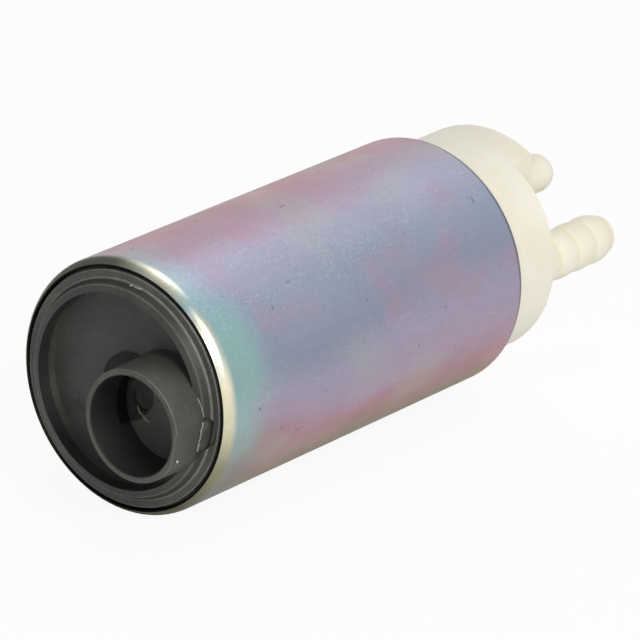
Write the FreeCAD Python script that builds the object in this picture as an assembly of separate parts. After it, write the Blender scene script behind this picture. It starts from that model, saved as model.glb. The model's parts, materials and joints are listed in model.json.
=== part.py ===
import FreeCAD, Part
import math
import os
from FreeCAD import Vector

# An in-tank electric fuel pump, lying on its side.
# +X is the pump's axis and points to the outlet, +Z is up, the origin is the centre of the shell.
# All sizes are millimetres. Places along the axis grow from the inlet end to the outlet end.

# Shell: a thin steel tube, both ends rolled in over the covers.
SHELL_D = 38.0
SHELL_LENGTH = 69.0
SHELL_WALL = 0.9
FRONT_ROLL_R = 2.1
REAR_ROLL_R = 1.2
FRONT_LIP_HOLD = 0.35
FRONT_LIP_NOSE = 0.40
REAR_LIP_HOLD = 0.8
FRONT_LIP_DEPTH = 1.25
REAR_LIP_DEPTH = 0.95
LIP_EDGE = 0.15

# Clearances that tie mating pieces together.
SEAT_CLEARANCE = 0.04
RUNNING_CLEARANCE = 0.03
END_CLEARANCE = 0.05
BRUSH_CLEARANCE = 0.10
IMPELLER_RIM_CLEARANCE = 0.30
AIR_GAP = 0.50
COVER_LIP_GAP = 0.25
CAP_LIP_GAP = 0.43
SHAFT_HOLE_CLEARANCE = 0.50

# Inlet cover: a dished plastic moulding with a raised ring and an offset snout.
INLET_COVER_LENGTH = 6.0
ANNULUS_DEPTH = 0.30
ANNULUS_WIDTH = 1.25
COLLAR_EDGE = 0.18
RING_WIDTH = 1.90
RING_FOOT_ROUND = 0.20
RING_DRAFT = 0.62
RING_CROWN_HEIGHT = 0.90
RING_CROWN_ROUND = 0.16
RING_CREST_INSET = 1.71
RING_CREST_HEIGHT = 1.20
RECESS_DEPTH = 2.14
BOSS_R = 4.90
BOSS_WALL = 0.45
BOSS_HEIGHT = 1.10
SNOUT_INSET = 0.08
SNOUT_ANGLE = 192.6
SNOUT_HEIGHT = 6.80
SNOUT_BASE_R = 8.56
SNOUT_TAPER = 0.26
SNOUT_WALL = 0.88
SNOUT_LIP_ROUND = 0.18
SNOUT_FLAT_DEPTH = 0.75
SNOUT_FLOOR_DEPTH = 0.90
SNOUT_FLOOR_DROP = 2.40
SNOUT_FLOOR_SLOPE = 18.0
SNOUT_FLOOR_LEDGE = 0.35
SLOPE_START = 1.0
DISH_R = 1.80
DISH_DEPTH = 0.50
DISH_SHIFT_Y = 4.2
DISH_SHIFT_Z = 0.8
SCALLOP_R = 3.0
SCALLOP_REACH = 0.90
SCALLOP_DEPTH = 0.50
SCALLOP_SLOPE = 0.30
SCALLOP_ANGLE = 190.6
EJECTOR_MARK_R = 0.95
EJECTOR_MARK_DEPTH = 0.15
EJECTOR_MARK_INSET = 3.95
EJECTOR_MARK_ANGLE = -27.8

# Pump stage: a vaned disc turning in a narrow chamber between two C-shaped channels.
CHAMBER_WALL = 2.76
IMPELLER_THICKNESS = 3.8
VANE_COUNT = 36
VANE_LENGTH = 2.4
VANE_SLOT_WIDTH = 1.30
VANE_WEB = 0.70
CHANNEL_INSET = 1.3
CHANNEL_HALF_WIDTH = 1.35
CHANNEL_DEPTH = 1.30
CHANNEL_BOTTOM_SHARE = 0.6
CHANNEL_SPAN = 300.0
PORT_R = 1.70
PORT_INSET = 2.1
OUTLET_PORT_SET_BACK = 8.0
CHAMBER_DISC = 5.0
PUMP_HUB_R = 6.0
PUMP_HUB_LENGTH = 3.0
SKIRT_WALL = 1.65
SKIRT_LENGTH = 4.1

# Shaft and its bearings.
SHAFT_R = 2.0
SHAFT_FLAT = 1.5
BUSHING_WALL = 1.0
LOWER_BUSHING_LENGTH = 7.0
UPPER_BUSHING_LENGTH = 6.6
BUTTON_R = 2.55
BUTTON_THICKNESS = 2.0
BUTTON_POCKET = 3.4
WASHER_R = 4.0
WASHER_THICKNESS = 0.8

# Magnets and the two spring clips between them.
MAGNET_THICKNESS = 4.8
MAGNET_SPAN = 148.0
CLIP_END_GAP = 2.25
CLIP_SIDE_GAP = 0.6
CLIP_SHEET = 0.5
CLIP_DEPTH = 4.2

# Armature: slotted core, two end insulators, one winding with its end turns.
SLOT_COUNT = 8
CORE_FRONT_GAP = 4.5
CORE_BACK_GAP = 3.5
SLOT_ROOT_SHARE = 0.423
SLOT_TOP_SHARE = 0.846
TOOTH_WIDTH_SHARE = 0.185
TOOTH_TIP_SLOPE = 0.9
SLOT_MOUTH_HALF_WIDTH = 0.9
INSULATOR_THICKNESS = 0.8
INSULATOR_INSET = 0.6
WINDING_INSET = 0.15
END_TURN_LENGTH = 2.6
END_TURN_BEVEL = 1.6
END_TURN_OVERLAP = 0.2
END_TURN_INSET = 0.8

# Face commutator: eight carbon segments on a moulded hub.
SEGMENT_COUNT = 8
SEGMENT_GAP = 0.5
SEGMENT_INNER_R = 3.6
COMMUTATOR_SHARE = 0.752
COMMUTATOR_REACH = 4.5
SEGMENT_THICKNESS = 2.2
COMMUTATOR_HUB_THICKNESS = 1.4
COMMUTATOR_HUB_R = 3.4

# Brushes and the moulded holder that guides them.
BRUSH_EDGE_MARGIN = 0.7
BRUSH_ACROSS_SHARE = 0.521
BRUSH_LENGTH = 7.5
BRUSH_SPRING_LENGTH = 6.2
TOWER_WALL = 1.2
TOWER_TOP = 1.2
TUNNEL_GAP = 1.5
HOLDER_LENGTH = 15.5
HOLDER_PLATE = 3.0
HOLDER_HUB_R = 4.6
HOLDER_RING_WALL = 1.65
BUSHING_SET_BACK = 1.2
BUSHING_SHOULDER = 0.6
SHAFT_END_GAP = 0.6
WINDOW_R = 2.6
WINDOW_INSET = 5.46
WINDOW_ANGLES = (50.0, 130.0, 230.0, 310.0)

# Outlet cover: cap with a tall connector block, a domed stub and a hose barb.
CAP_LOW = 10.5
CAP_HIGH = 15.4
CAP_WALL = 1.9
CAP_PLATE = 2.4
CAP_EDGE = 0.5
CAP_FLANGE_LENGTH = 3.05
BLOCK_WIDTH_SHARE = 0.5305
BLOCK_BOTTOM_Z = -1.5

# Domed stub, which houses the relief valve.
STUB_HEIGHT_SHARE = 0.569
STUB_R = 2.95
STUB_DOME = 19.5
RELIEF_CHAMBER_R = 1.7
RELIEF_CHAMBER_TOP = 18.4
RELIEF_SEAT_LENGTH = 2.8
RELIEF_SEAT_HOLE_R = 0.8
RELIEF_BALL_R = 1.35
VENT_R = 0.7

# Hose barb with the check valve at its root.
BARB_SIDE_SHARE = 0.652
BARB_Z = -1.85
BARB_NECK_R = 3.45
BARB_CREST_R = 3.72
BARB_TIP_R = 3.12
BARB_TIP_ROUND = 1.5
BARB_END = 30.35
BARB_PITCH = 4.4
BARB_CREST_SHARE = 0.6
BARB_FIRST_SLOPE = 1.6
BARB_CRESTS = 3
BARB_LAST_CREST = 26.2
BARB_BORE_R = 1.62
CHECK_BOSS_R = 4.6
CHECK_BOSS_BOTTOM = 1.6
CHECK_CHAMBER_R = 2.95
CHECK_CHAMBER_TOP = 9.6
CHECK_SEAT_LENGTH = 1.4
CHECK_SEAT_HOLE_R = 1.5
POPPET_R = 2.45
POPPET_THICKNESS = 1.0
POPPET_STEM_R = 0.8
POPPET_STEM_LENGTH = 3.0

# Connector socket with two blades.
SOCKET_SIDE_WALL = 1.45
SOCKET_STUB_WALL = 1.55
SOCKET_END_ROOM = 2.6
SOCKET_FLOOR = 9.7
LATCH_WIDTH_SHARE = 0.42
LATCH_HEIGHT = 1.0
LATCH_SET_BACK = 0.8
LATCH_LENGTH = 2.9
LATCH_LEDGE = 0.5
BLOCK_EDGE = 0.35
BLADE_PITCH = 5.2
BLADE_WIDTH = 2.8
BLADE_THICKNESS = 0.8
BLADE_TOP = 14.6
BLADE_TAIL = 6.4
CHOKE_GAP = 1.0
CHOKE_LENGTH = 4.8
CHOKE_TURNS = 5
CHOKE_WIRE_R = 0.45
CHOKE_TOWER_GAP = 0.25
CHOKE_BLADE_GAP = 0.8

# Sealing rings of square section.
SEAL_SIDE = 1.1
SEAL_SLOT = 1.3
SEAL_SET_BACK = 0.9

# Springs.
BRUSH_SPRING_SHARE = 0.348
BRUSH_SPRING_WIRE = 0.45
BRUSH_SPRING_TURNS = 4.5
CHECK_SPRING_R = 1.75
CHECK_SPRING_WIRE = 0.4
CHECK_SPRING_TURNS = 3.5
RELIEF_SPRING_R = 1.1
RELIEF_SPRING_WIRE = 0.35
RELIEF_SPRING_TURNS = 4.5

# Stations along the axis, worked out from the sizes above.
FRONT = -SHELL_LENGTH / 2
REAR = SHELL_LENGTH / 2
COVER_FRONT = FRONT + FRONT_LIP_DEPTH
COVER_BACK = FRONT + INLET_COVER_LENGTH
RECESS_FLOOR = FRONT + RECESS_DEPTH
SNOUT_MOUTH = FRONT - SNOUT_HEIGHT
SNOUT_FLOOR = FRONT + SNOUT_FLOOR_DEPTH
IMPELLER_FRONT = COVER_BACK + END_CLEARANCE
IMPELLER_BACK = IMPELLER_FRONT + IMPELLER_THICKNESS
CHAMBER_BACK = IMPELLER_BACK + END_CLEARANCE
DISC_BACK = CHAMBER_BACK + CHAMBER_DISC
HUB_BACK = DISC_BACK + PUMP_HUB_LENGTH
CAP_FLANGE_BACK = REAR - REAR_LIP_DEPTH
HOLDER_BACK = CAP_FLANGE_BACK - CAP_FLANGE_LENGTH
HOLDER_FRONT = HOLDER_BACK - HOLDER_LENGTH
MAGNET_FRONT = DISC_BACK + SKIRT_LENGTH
MAGNET_BACK = HOLDER_FRONT
CORE_FRONT = MAGNET_FRONT + CORE_FRONT_GAP
CORE_BACK = MAGNET_BACK - CORE_BACK_GAP
BUTTON_FRONT = COVER_BACK - BUTTON_POCKET
SHAFT_FRONT = BUTTON_FRONT + BUTTON_THICKNESS + END_CLEARANCE
SEGMENT_BACK = HOLDER_FRONT + COMMUTATOR_REACH
SEGMENT_FRONT = SEGMENT_BACK - SEGMENT_THICKNESS
COMMUTATOR_FRONT = SEGMENT_FRONT - COMMUTATOR_HUB_THICKNESS
TUNNEL_FRONT = SEGMENT_BACK + TUNNEL_GAP
BRUSH_BACK = SEGMENT_BACK + BRUSH_LENGTH
TUNNEL_BACK = BRUSH_BACK + BRUSH_SPRING_LENGTH + SEAT_CLEARANCE * 2
TOWER_BACK = TUNNEL_BACK + TOWER_TOP
UPPER_BUSHING_FRONT = TUNNEL_FRONT + BUSHING_SET_BACK
UPPER_BUSHING_BACK = UPPER_BUSHING_FRONT + UPPER_BUSHING_LENGTH
SHAFT_BACK = UPPER_BUSHING_BACK - SHAFT_END_GAP
CAP_CEILING = REAR + CAP_LOW - CAP_PLATE

# Radii, worked out from the shell inwards.
SHELL_R = SHELL_D / 2
BORE_R = SHELL_R - SHELL_WALL
FLANGE_R = BORE_R - SEAT_CLEARANCE
FRONT_LIP_R = BORE_R - FRONT_LIP_HOLD
REAR_LIP_R = BORE_R - REAR_LIP_HOLD
COLLAR_R = FRONT_LIP_R - COVER_LIP_GAP
RING_OUTER_R = COLLAR_R - ANNULUS_WIDTH
RECESS_R = RING_OUTER_R - RING_WIDTH
CHAMBER_R = FLANGE_R - CHAMBER_WALL
IMPELLER_R = CHAMBER_R - IMPELLER_RIM_CLEARANCE
VANE_ROOT_R = IMPELLER_R - VANE_LENGTH
CHANNEL_R = IMPELLER_R - CHANNEL_INSET
PORT_OFFSET = IMPELLER_R - PORT_INSET
MAGNET_INNER_R = FLANGE_R - MAGNET_THICKNESS
CORE_R = MAGNET_INNER_R - AIR_GAP
SLOT_ROOT_R = CORE_R * SLOT_ROOT_SHARE
SLOT_TOP_R = CORE_R * SLOT_TOP_SHARE
TOOTH_HALF_WIDTH = CORE_R * TOOTH_WIDTH_SHARE / 2
END_TURN_INNER_R = SLOT_ROOT_R - END_TURN_INSET
END_TURN_OUTER_R = SLOT_TOP_R + END_TURN_OVERLAP
COMMUTATOR_R = CORE_R * COMMUTATOR_SHARE
BUSHING_INNER_R = SHAFT_R + RUNNING_CLEARANCE
BUSHING_OUTER_R = BUSHING_INNER_R + BUSHING_WALL
WINDOW_OFFSET = FLANGE_R - WINDOW_INSET
CAP_R = REAR_LIP_R - CAP_LIP_GAP
CAP_CAVITY_R = CAP_R - CAP_WALL

# Places beside the axis and the sizes that follow from them.
SNOUT_MOUTH_R = SNOUT_BASE_R - SNOUT_TAPER
SNOUT_BORE_R = SNOUT_MOUTH_R - SNOUT_WALL
SNOUT_OFFSET = RING_OUTER_R - SNOUT_INSET - SNOUT_BASE_R
SNOUT_Y = SNOUT_OFFSET * math.cos(math.radians(SNOUT_ANGLE))
SNOUT_Z = SNOUT_OFFSET * math.sin(math.radians(SNOUT_ANGLE))
BRUSH_OFFSET = (SEGMENT_INNER_R + COMMUTATOR_R) / 2
BRUSH_RADIAL = COMMUTATOR_R - SEGMENT_INNER_R - 2 * BRUSH_EDGE_MARGIN
BRUSH_ACROSS = COMMUTATOR_R * BRUSH_ACROSS_SHARE
BRUSH_SPRING_R = BRUSH_RADIAL * BRUSH_SPRING_SHARE
BLOCK_HALF_WIDTH = CAP_R * BLOCK_WIDTH_SHARE
STUB_Y = STUB_R - BLOCK_HALF_WIDTH
STUB_Z = CAP_R * STUB_HEIGHT_SHARE
BARB_Y = -CAP_R * BARB_SIDE_SHARE
SOCKET_LEFT = STUB_Y + STUB_R + SOCKET_STUB_WALL
SOCKET_RIGHT = BLOCK_HALF_WIDTH - SOCKET_SIDE_WALL
BLADE_Y = (SOCKET_LEFT + SOCKET_RIGHT) / 2
LOWER_BLADE_Z = BRUSH_ACROSS / 2 + TOWER_WALL + CHOKE_TOWER_GAP + CHOKE_WIRE_R
UPPER_BLADE_Z = LOWER_BLADE_Z + BLADE_PITCH
CHOKE_R = (BLADE_PITCH - CHOKE_GAP) / 2


def outline(points):
    """Closed wire in the XZ plane. A point is (x, r), or (x_mid, r_mid, x, r) for an arc."""
    edges = []
    last = Vector(points[0][-2], 0, points[0][-1])
    for point in list(points[1:]) + [points[0]]:
        here = Vector(point[-2], 0, point[-1])
        if len(point) == 4:
            middle = Vector(point[0], 0, point[1])
            edges.append(Part.Arc(last, middle, here).toShape())
        elif here.distanceToPoint(last) > 1e-6:
            edges.append(Part.makeLine(last, here))
        last = here
    return Part.Wire(edges)


def turned(points, y=0.0, z=0.0, start=0.0, sweep=360.0):
    """Solid turned about a line along X. The sweep starts from +Z and turns towards -Y."""
    solid = Part.Face(outline(points)).revolve(Vector(0, 0, 0), Vector(1, 0, 0), sweep)
    if start:
        solid.rotate(Vector(0, 0, 0), Vector(1, 0, 0), start)
    solid.translate(Vector(0, y, z))
    return solid


def rod(x_front, x_back, radius, y=0.0, z=0.0):
    return Part.makeCylinder(radius, x_back - x_front, Vector(x_front, y, z), Vector(1, 0, 0))


def ring(x_front, x_back, outer_r, inner_r, y=0.0, z=0.0):
    return rod(x_front, x_back, outer_r, y, z).cut(rod(x_front - 1, x_back + 1, inner_r, y, z))


def block(x_front, x_back, y_low, y_high, z_low, z_high):
    corner = Vector(x_front, y_low, z_low)
    return Part.makeBox(x_back - x_front, y_high - y_low, z_high - z_low, corner)


def prism(points, x_front, x_back):
    """Solid of constant section along X. The points are (y, z)."""
    corners = [Vector(x_front, y, z) for y, z in points]
    face = Part.Face(Part.makePolygon(corners + corners[:1]))
    return face.extrude(Vector(x_back - x_front, 0, 0))


def around_axis(shape, count, first=0.0):
    """Copies of a shape, evenly spaced about the pump's axis."""
    copies = []
    for index in range(count):
        copy = shape.copy()
        copy.rotate(Vector(0, 0, 0), Vector(1, 0, 0), first + 360.0 * index / count)
        copies.append(copy)
    return copies


def arc_point(centre_x, centre_r, radius, angle):
    """Point of a section's arc, the angle counted from +X towards +R."""
    turn = math.radians(angle)
    return centre_x + radius * math.cos(turn), centre_r + radius * math.sin(turn)


def coil(x_front, x_back, mean_r, wire, turns, y=0.0, z=0.0):
    """Compression spring of square wire along X."""
    height = x_back - x_front - wire
    helix = Part.makeHelix(height / turns, height, mean_r)
    half = wire / 2
    corners = [(mean_r - half, -half), (mean_r + half, -half), (mean_r + half, half), (mean_r - half, half)]
    points = [Vector(r, 0, h) for r, h in corners]
    section = Part.makePolygon(points + points[:1])
    spring = Part.Wire(helix).makePipeShell([section], True, True)
    spring.rotate(Vector(0, 0, 0), Vector(0, 1, 0), 90)
    spring.translate(Vector(x_front + half, y, z))
    return spring


def save(shape, node):
    shape.exportStep("parts/" + node + ".step")


def make_shell():
    # The section follows the outside from the front lip to the rear lip and comes back inside.
    front_centre = FRONT + FRONT_ROLL_R
    rear_centre = REAR - REAR_ROLL_R
    lip_rise = FRONT_LIP_R + FRONT_LIP_NOSE - (SHELL_R - FRONT_ROLL_R)
    lip_x = front_centre - math.sqrt(FRONT_ROLL_R ** 2 - lip_rise ** 2)
    lip_angle = 180 - math.degrees(math.asin(lip_rise / FRONT_ROLL_R))
    front_mid = arc_point(front_centre, SHELL_R - FRONT_ROLL_R, FRONT_ROLL_R, (lip_angle + 90) / 2)
    rear_mid = arc_point(rear_centre, SHELL_R - REAR_ROLL_R, REAR_ROLL_R, 45)
    nose_mid = arc_point(lip_x + FRONT_LIP_NOSE, FRONT_LIP_R + FRONT_LIP_NOSE, FRONT_LIP_NOSE, 225)
    return turned([
        (lip_x, FRONT_LIP_R + FRONT_LIP_NOSE),
        front_mid + (front_centre, SHELL_R),
        (rear_centre, SHELL_R),
        rear_mid + (REAR, SHELL_R - REAR_ROLL_R),
        (REAR, REAR_LIP_R + LIP_EDGE),
        (REAR - LIP_EDGE, REAR_LIP_R),
        (REAR - REAR_LIP_DEPTH, REAR_LIP_R),
        (REAR - REAR_LIP_DEPTH, BORE_R),
        (COVER_FRONT, BORE_R),
        (COVER_FRONT, FRONT_LIP_R),
        (lip_x + FRONT_LIP_NOSE, FRONT_LIP_R),
        nose_mid + (lip_x, FRONT_LIP_R + FRONT_LIP_NOSE),
    ])


def inlet_dish():
    """The turned part of the inlet cover, with the thrust pocket and the seal groove."""
    groove_front = COVER_FRONT + SEAL_SET_BACK
    groove_r = BORE_R - SEAL_SIDE - 2 * SEAT_CLEARANCE
    boss_rim = RECESS_FLOOR - BOSS_WALL
    boss_mid = (RECESS_FLOOR - BOSS_HEIGHT + (BOSS_HEIGHT - BOSS_WALL) * 0.25, BOSS_R / 2)
    crown_x = FRONT - RING_CROWN_HEIGHT
    crown_r = RING_OUTER_R - RING_DRAFT
    crown_mid = (crown_x + RING_CROWN_ROUND * 0.3, crown_r - RING_CROWN_ROUND * 0.3)
    annulus_x = FRONT + ANNULUS_DEPTH
    foot_mid = (annulus_x - RING_FOOT_ROUND * 0.3, RING_OUTER_R + RING_FOOT_ROUND * 0.15)
    collar_mid = arc_point(annulus_x + COLLAR_EDGE, COLLAR_R - COLLAR_EDGE, COLLAR_EDGE, 135)
    return turned([
        (BUTTON_FRONT, 0),
        (RECESS_FLOOR - BOSS_HEIGHT, 0),
        boss_mid + (boss_rim, BOSS_R),
        (RECESS_FLOOR, BOSS_R),
        (RECESS_FLOOR, RECESS_R),
        (FRONT - RING_CREST_HEIGHT, RING_OUTER_R - RING_CREST_INSET),
        (crown_x, crown_r - RING_CROWN_ROUND),
        crown_mid + (crown_x + RING_CROWN_ROUND, crown_r + RING_CROWN_ROUND * 0.4),
        (annulus_x - RING_FOOT_ROUND, RING_OUTER_R - RING_FOOT_ROUND * 0.4),
        foot_mid + (annulus_x, RING_OUTER_R + RING_FOOT_ROUND),
        (annulus_x, COLLAR_R - COLLAR_EDGE),
        collar_mid + (annulus_x + COLLAR_EDGE, COLLAR_R),
        (COVER_FRONT, COLLAR_R),
        (COVER_FRONT, FLANGE_R),
        (groove_front, FLANGE_R),
        (groove_front, groove_r),
        (groove_front + SEAL_SLOT, groove_r),
        (groove_front + SEAL_SLOT, FLANGE_R),
        (COVER_BACK, FLANGE_R),
        (COVER_BACK, BUTTON_R + SEAT_CLEARANCE),
        (BUTTON_FRONT, BUTTON_R + SEAT_CLEARANCE),
    ])


def snout_body(x_flat_end):
    """Solid cone of the spout, its mouth edge rounded, with one flat that ends at a station."""
    mouth_edge = (SNOUT_MOUTH + SNOUT_LIP_ROUND, SNOUT_MOUTH_R - SNOUT_LIP_ROUND)
    cone = turned([
        (SNOUT_MOUTH, 0),
        (SNOUT_MOUTH, SNOUT_MOUTH_R - SNOUT_LIP_ROUND),
        arc_point(*mouth_edge, SNOUT_LIP_ROUND, 135) + (SNOUT_MOUTH + SNOUT_LIP_ROUND, SNOUT_MOUTH_R),
        (RECESS_FLOOR, SNOUT_BASE_R),
        (RECESS_FLOOR, 0),
    ], SNOUT_Y, SNOUT_Z)
    reach = 2 * SNOUT_BASE_R
    flat = SNOUT_BASE_R - SNOUT_FLAT_DEPTH
    beyond_flat = block(SNOUT_MOUTH - 1, x_flat_end, flat, reach, -reach, reach)
    beyond_flat.rotate(Vector(0, 0, 0), Vector(1, 0, 0), SNOUT_ANGLE)
    beyond_flat.translate(Vector(0, SNOUT_Y, SNOUT_Z))
    return cone.cut(beyond_flat)


def make_scallop():
    """Round pocket in the ring and the annulus beside the spout's flat, which it leaves whole."""
    floor_x = FRONT + ANNULUS_DEPTH + SCALLOP_DEPTH
    turn = math.radians(SCALLOP_ANGLE)
    offset = RING_OUTER_R + SCALLOP_REACH - SCALLOP_R
    y = offset * math.cos(turn)
    z = offset * math.sin(turn)
    pocket = turned([
        (FRONT - RING_CREST_HEIGHT - 1, 0),
        (FRONT - RING_CREST_HEIGHT - 1, SCALLOP_R),
        (floor_x - SCALLOP_DEPTH, SCALLOP_R),
        (floor_x, SCALLOP_R - SCALLOP_SLOPE),
        (floor_x, 0),
    ], y, z)
    return pocket.cut(snout_body(floor_x))


def snout_bore():
    """The spout's hollow: a round bore, then a floor that slopes down and carries a shallow dish."""
    bore = rod(SNOUT_MOUTH - 1, SNOUT_FLOOR, SNOUT_BORE_R, SNOUT_Y, SNOUT_Z)
    pocket_r = SNOUT_BORE_R - SNOUT_FLOOR_LEDGE
    pocket = rod(SNOUT_FLOOR, RECESS_FLOOR + SNOUT_FLOOR_DROP, pocket_r, SNOUT_Y, SNOUT_Z)
    reach = 4 * SNOUT_BORE_R
    below_slope = block(-reach, 0, -reach, reach, -reach, reach)
    below_slope.rotate(Vector(0, 0, 0), Vector(0, 1, 0), SNOUT_FLOOR_SLOPE)
    below_slope.translate(Vector(SNOUT_FLOOR, SNOUT_Y, SNOUT_Z + SLOPE_START))
    dish = rod(SNOUT_FLOOR, SNOUT_FLOOR + DISH_DEPTH, DISH_R, SNOUT_Y + DISH_SHIFT_Y, SNOUT_Z + DISH_SHIFT_Z)
    return [bore, pocket.common(below_slope), dish]


def flow_channel(face_x, direction, start):
    """C-shaped channel of half-round section, sunk into a face that looks at the impeller."""
    tip = face_x + direction * CHANNEL_DEPTH
    section = [
        (face_x, CHANNEL_R - CHANNEL_HALF_WIDTH),
        (face_x, CHANNEL_R + CHANNEL_HALF_WIDTH),
        (tip, CHANNEL_R + CHANNEL_HALF_WIDTH * CHANNEL_BOTTOM_SHARE),
        (tip, CHANNEL_R - CHANNEL_HALF_WIDTH * CHANNEL_BOTTOM_SHARE),
    ]
    return turned(section, start=start, sweep=CHANNEL_SPAN)


def rod_at(x_front, x_back, radius, offset, angle):
    """Rod beside the pump's axis. The angle is counted from +Y towards +Z."""
    turn = math.radians(angle)
    return rod(x_front, x_back, radius, offset * math.cos(turn), offset * math.sin(turn))


def make_inlet_cover():
    cover = inlet_dish().fuse(snout_body(FRONT - RING_CREST_HEIGHT))
    cover = cover.cut([make_scallop()] + snout_bore())
    cover = cover.cut(rod_at(RECESS_FLOOR - 1, RECESS_FLOOR + EJECTOR_MARK_DEPTH, EJECTOR_MARK_R,
                             RECESS_R - EJECTOR_MARK_INSET, EJECTOR_MARK_ANGLE))
    cover = cover.cut(flow_channel(COVER_BACK, -1, SNOUT_ANGLE - 90))
    cover = cover.cut(rod_at(SNOUT_FLOOR, COVER_BACK + 1, PORT_R, PORT_OFFSET, SNOUT_ANGLE))
    return cover.removeSplitter()


def make_seal(x_front):
    side_gap = (SEAL_SLOT - SEAL_SIDE) / 2
    return ring(x_front + side_gap, x_front + side_gap + SEAL_SIDE, FLANGE_R, FLANGE_R - SEAL_SIDE)


def make_pump_body():
    """Chamber ring, port disc, bearing hub and the skirt that stands against the magnets."""
    body = turned([
        (COVER_BACK, CHAMBER_R),
        (COVER_BACK, FLANGE_R),
        (MAGNET_FRONT, FLANGE_R),
        (MAGNET_FRONT, FLANGE_R - SKIRT_WALL),
        (DISC_BACK, FLANGE_R - SKIRT_WALL),
        (DISC_BACK, PUMP_HUB_R),
        (HUB_BACK, PUMP_HUB_R),
        (HUB_BACK, BUSHING_OUTER_R + SEAT_CLEARANCE),
        (HUB_BACK - LOWER_BUSHING_LENGTH, BUSHING_OUTER_R + SEAT_CLEARANCE),
        (HUB_BACK - LOWER_BUSHING_LENGTH, SHAFT_R + SHAFT_HOLE_CLEARANCE),
        (CHAMBER_BACK, SHAFT_R + SHAFT_HOLE_CLEARANCE),
        (CHAMBER_BACK, CHAMBER_R),
    ])
    body = body.cut(flow_channel(CHAMBER_BACK, 1, SNOUT_ANGLE - 90))
    outlet_angle = SNOUT_ANGLE + CHANNEL_SPAN - OUTLET_PORT_SET_BACK
    return body.cut(rod_at(CHAMBER_BACK, DISC_BACK + 1, PORT_R, PORT_OFFSET, outlet_angle))


def make_impeller():
    """Disc with radial vanes cut into both faces of its rim."""
    disc = rod(IMPELLER_FRONT, IMPELLER_BACK, IMPELLER_R)
    disc = disc.cut(shaft_bar(IMPELLER_FRONT - 1, IMPELLER_BACK + 1, SHAFT_R + SEAT_CLEARANCE))
    pocket_depth = (IMPELLER_THICKNESS - VANE_WEB) / 2
    half = VANE_SLOT_WIDTH / 2
    front = block(IMPELLER_FRONT - 1, IMPELLER_FRONT + pocket_depth, VANE_ROOT_R, IMPELLER_R + 1, -half, half)
    back = block(IMPELLER_BACK - pocket_depth, IMPELLER_BACK + 1, VANE_ROOT_R, IMPELLER_R + 1, -half, half)
    return disc.cut(around_axis(front, VANE_COUNT) + around_axis(back, VANE_COUNT))


def shaft_bar(x_front, x_back, radius):
    """Round bar with the driving flat on its top."""
    flat = SHAFT_FLAT + radius - SHAFT_R
    reach = 2 * radius
    return rod(x_front, x_back, radius).cut(block(x_front - 1, x_back + 1, -reach, reach, flat, reach))


def make_shaft():
    driven = shaft_bar(SHAFT_FRONT, IMPELLER_BACK, SHAFT_R)
    return driven.fuse(rod(IMPELLER_BACK, SHAFT_BACK, SHAFT_R)).removeSplitter()


def make_magnet(start):
    section = [
        (MAGNET_FRONT, MAGNET_INNER_R),
        (MAGNET_FRONT, FLANGE_R),
        (MAGNET_BACK, FLANGE_R),
        (MAGNET_BACK, MAGNET_INNER_R),
    ]
    return turned(section, start=start, sweep=MAGNET_SPAN)


def make_magnet_clip(start):
    """U-shaped strip of spring steel in the gap between the magnets."""
    gap = 180 - MAGNET_SPAN
    x_front = MAGNET_FRONT + CLIP_END_GAP
    x_back = MAGNET_BACK - CLIP_END_GAP
    leg = math.degrees(CLIP_SHEET / (FLANGE_R - CLIP_DEPTH / 2))
    low = FLANGE_R - CLIP_DEPTH
    outer = [(x_front, low), (x_front, FLANGE_R), (x_back, FLANGE_R), (x_back, low)]
    top = FLANGE_R - CLIP_SHEET
    inner = [(x_front - 1, low - 1), (x_front - 1, top), (x_back + 1, top), (x_back + 1, low - 1)]
    strip = turned(outer, start=start + CLIP_SIDE_GAP, sweep=gap - 2 * CLIP_SIDE_GAP)
    side = CLIP_SIDE_GAP + leg
    hollow = turned(inner, start=start + side, sweep=gap - 2 * side)
    return strip.cut(hollow)


def slot_half_width(radius):
    """Half of the room between two teeth of even width."""
    half_pitch = math.pi / SLOT_COUNT
    return radius * math.tan(half_pitch) - TOOTH_HALF_WIDTH / math.cos(half_pitch)


def slot_section(inset):
    """Corners of a winding slot as (radius, side), from its root to its mouth and back."""
    upper = [
        (SLOT_ROOT_R + inset, slot_half_width(SLOT_ROOT_R) - inset),
        (SLOT_TOP_R - inset, slot_half_width(SLOT_TOP_R) - inset),
        (SLOT_TOP_R + TOOTH_TIP_SLOPE - inset, SLOT_MOUTH_HALF_WIDTH - inset),
    ]
    if not inset:
        upper.append((CORE_R + 1, SLOT_MOUTH_HALF_WIDTH))
    return upper + [(radius, -side) for radius, side in reversed(upper)]


def slotted_disc(x_front, x_back, outer_r):
    disc = rod(x_front, x_back, outer_r).cut(rod(x_front - 1, x_back + 1, SHAFT_R + SEAT_CLEARANCE))
    slot = prism(slot_section(0.0), x_front - 1, x_back + 1)
    return disc.cut(around_axis(slot, SLOT_COUNT))


def end_turns(x_near, x_far):
    """Bundle of end turns beyond one insulator, bevelled on its outer side."""
    shoulder = x_near + (x_far - x_near) / 2
    return turned([
        (x_near, END_TURN_INNER_R),
        (x_near, END_TURN_OUTER_R),
        (shoulder, END_TURN_OUTER_R),
        (x_far, END_TURN_OUTER_R - END_TURN_BEVEL),
        (x_far, END_TURN_INNER_R + END_TURN_BEVEL),
        (shoulder, END_TURN_INNER_R),
    ])


def make_winding():
    front = CORE_FRONT - INSULATOR_THICKNESS
    back = CORE_BACK + INSULATOR_THICKNESS
    fill = prism(slot_section(WINDING_INSET), front - 0.5, back + 0.5)
    bundles = end_turns(front, front - END_TURN_LENGTH).fuse(end_turns(back, back + END_TURN_LENGTH))
    return bundles.fuse(around_axis(fill, SLOT_COUNT)).removeSplitter()


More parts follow.
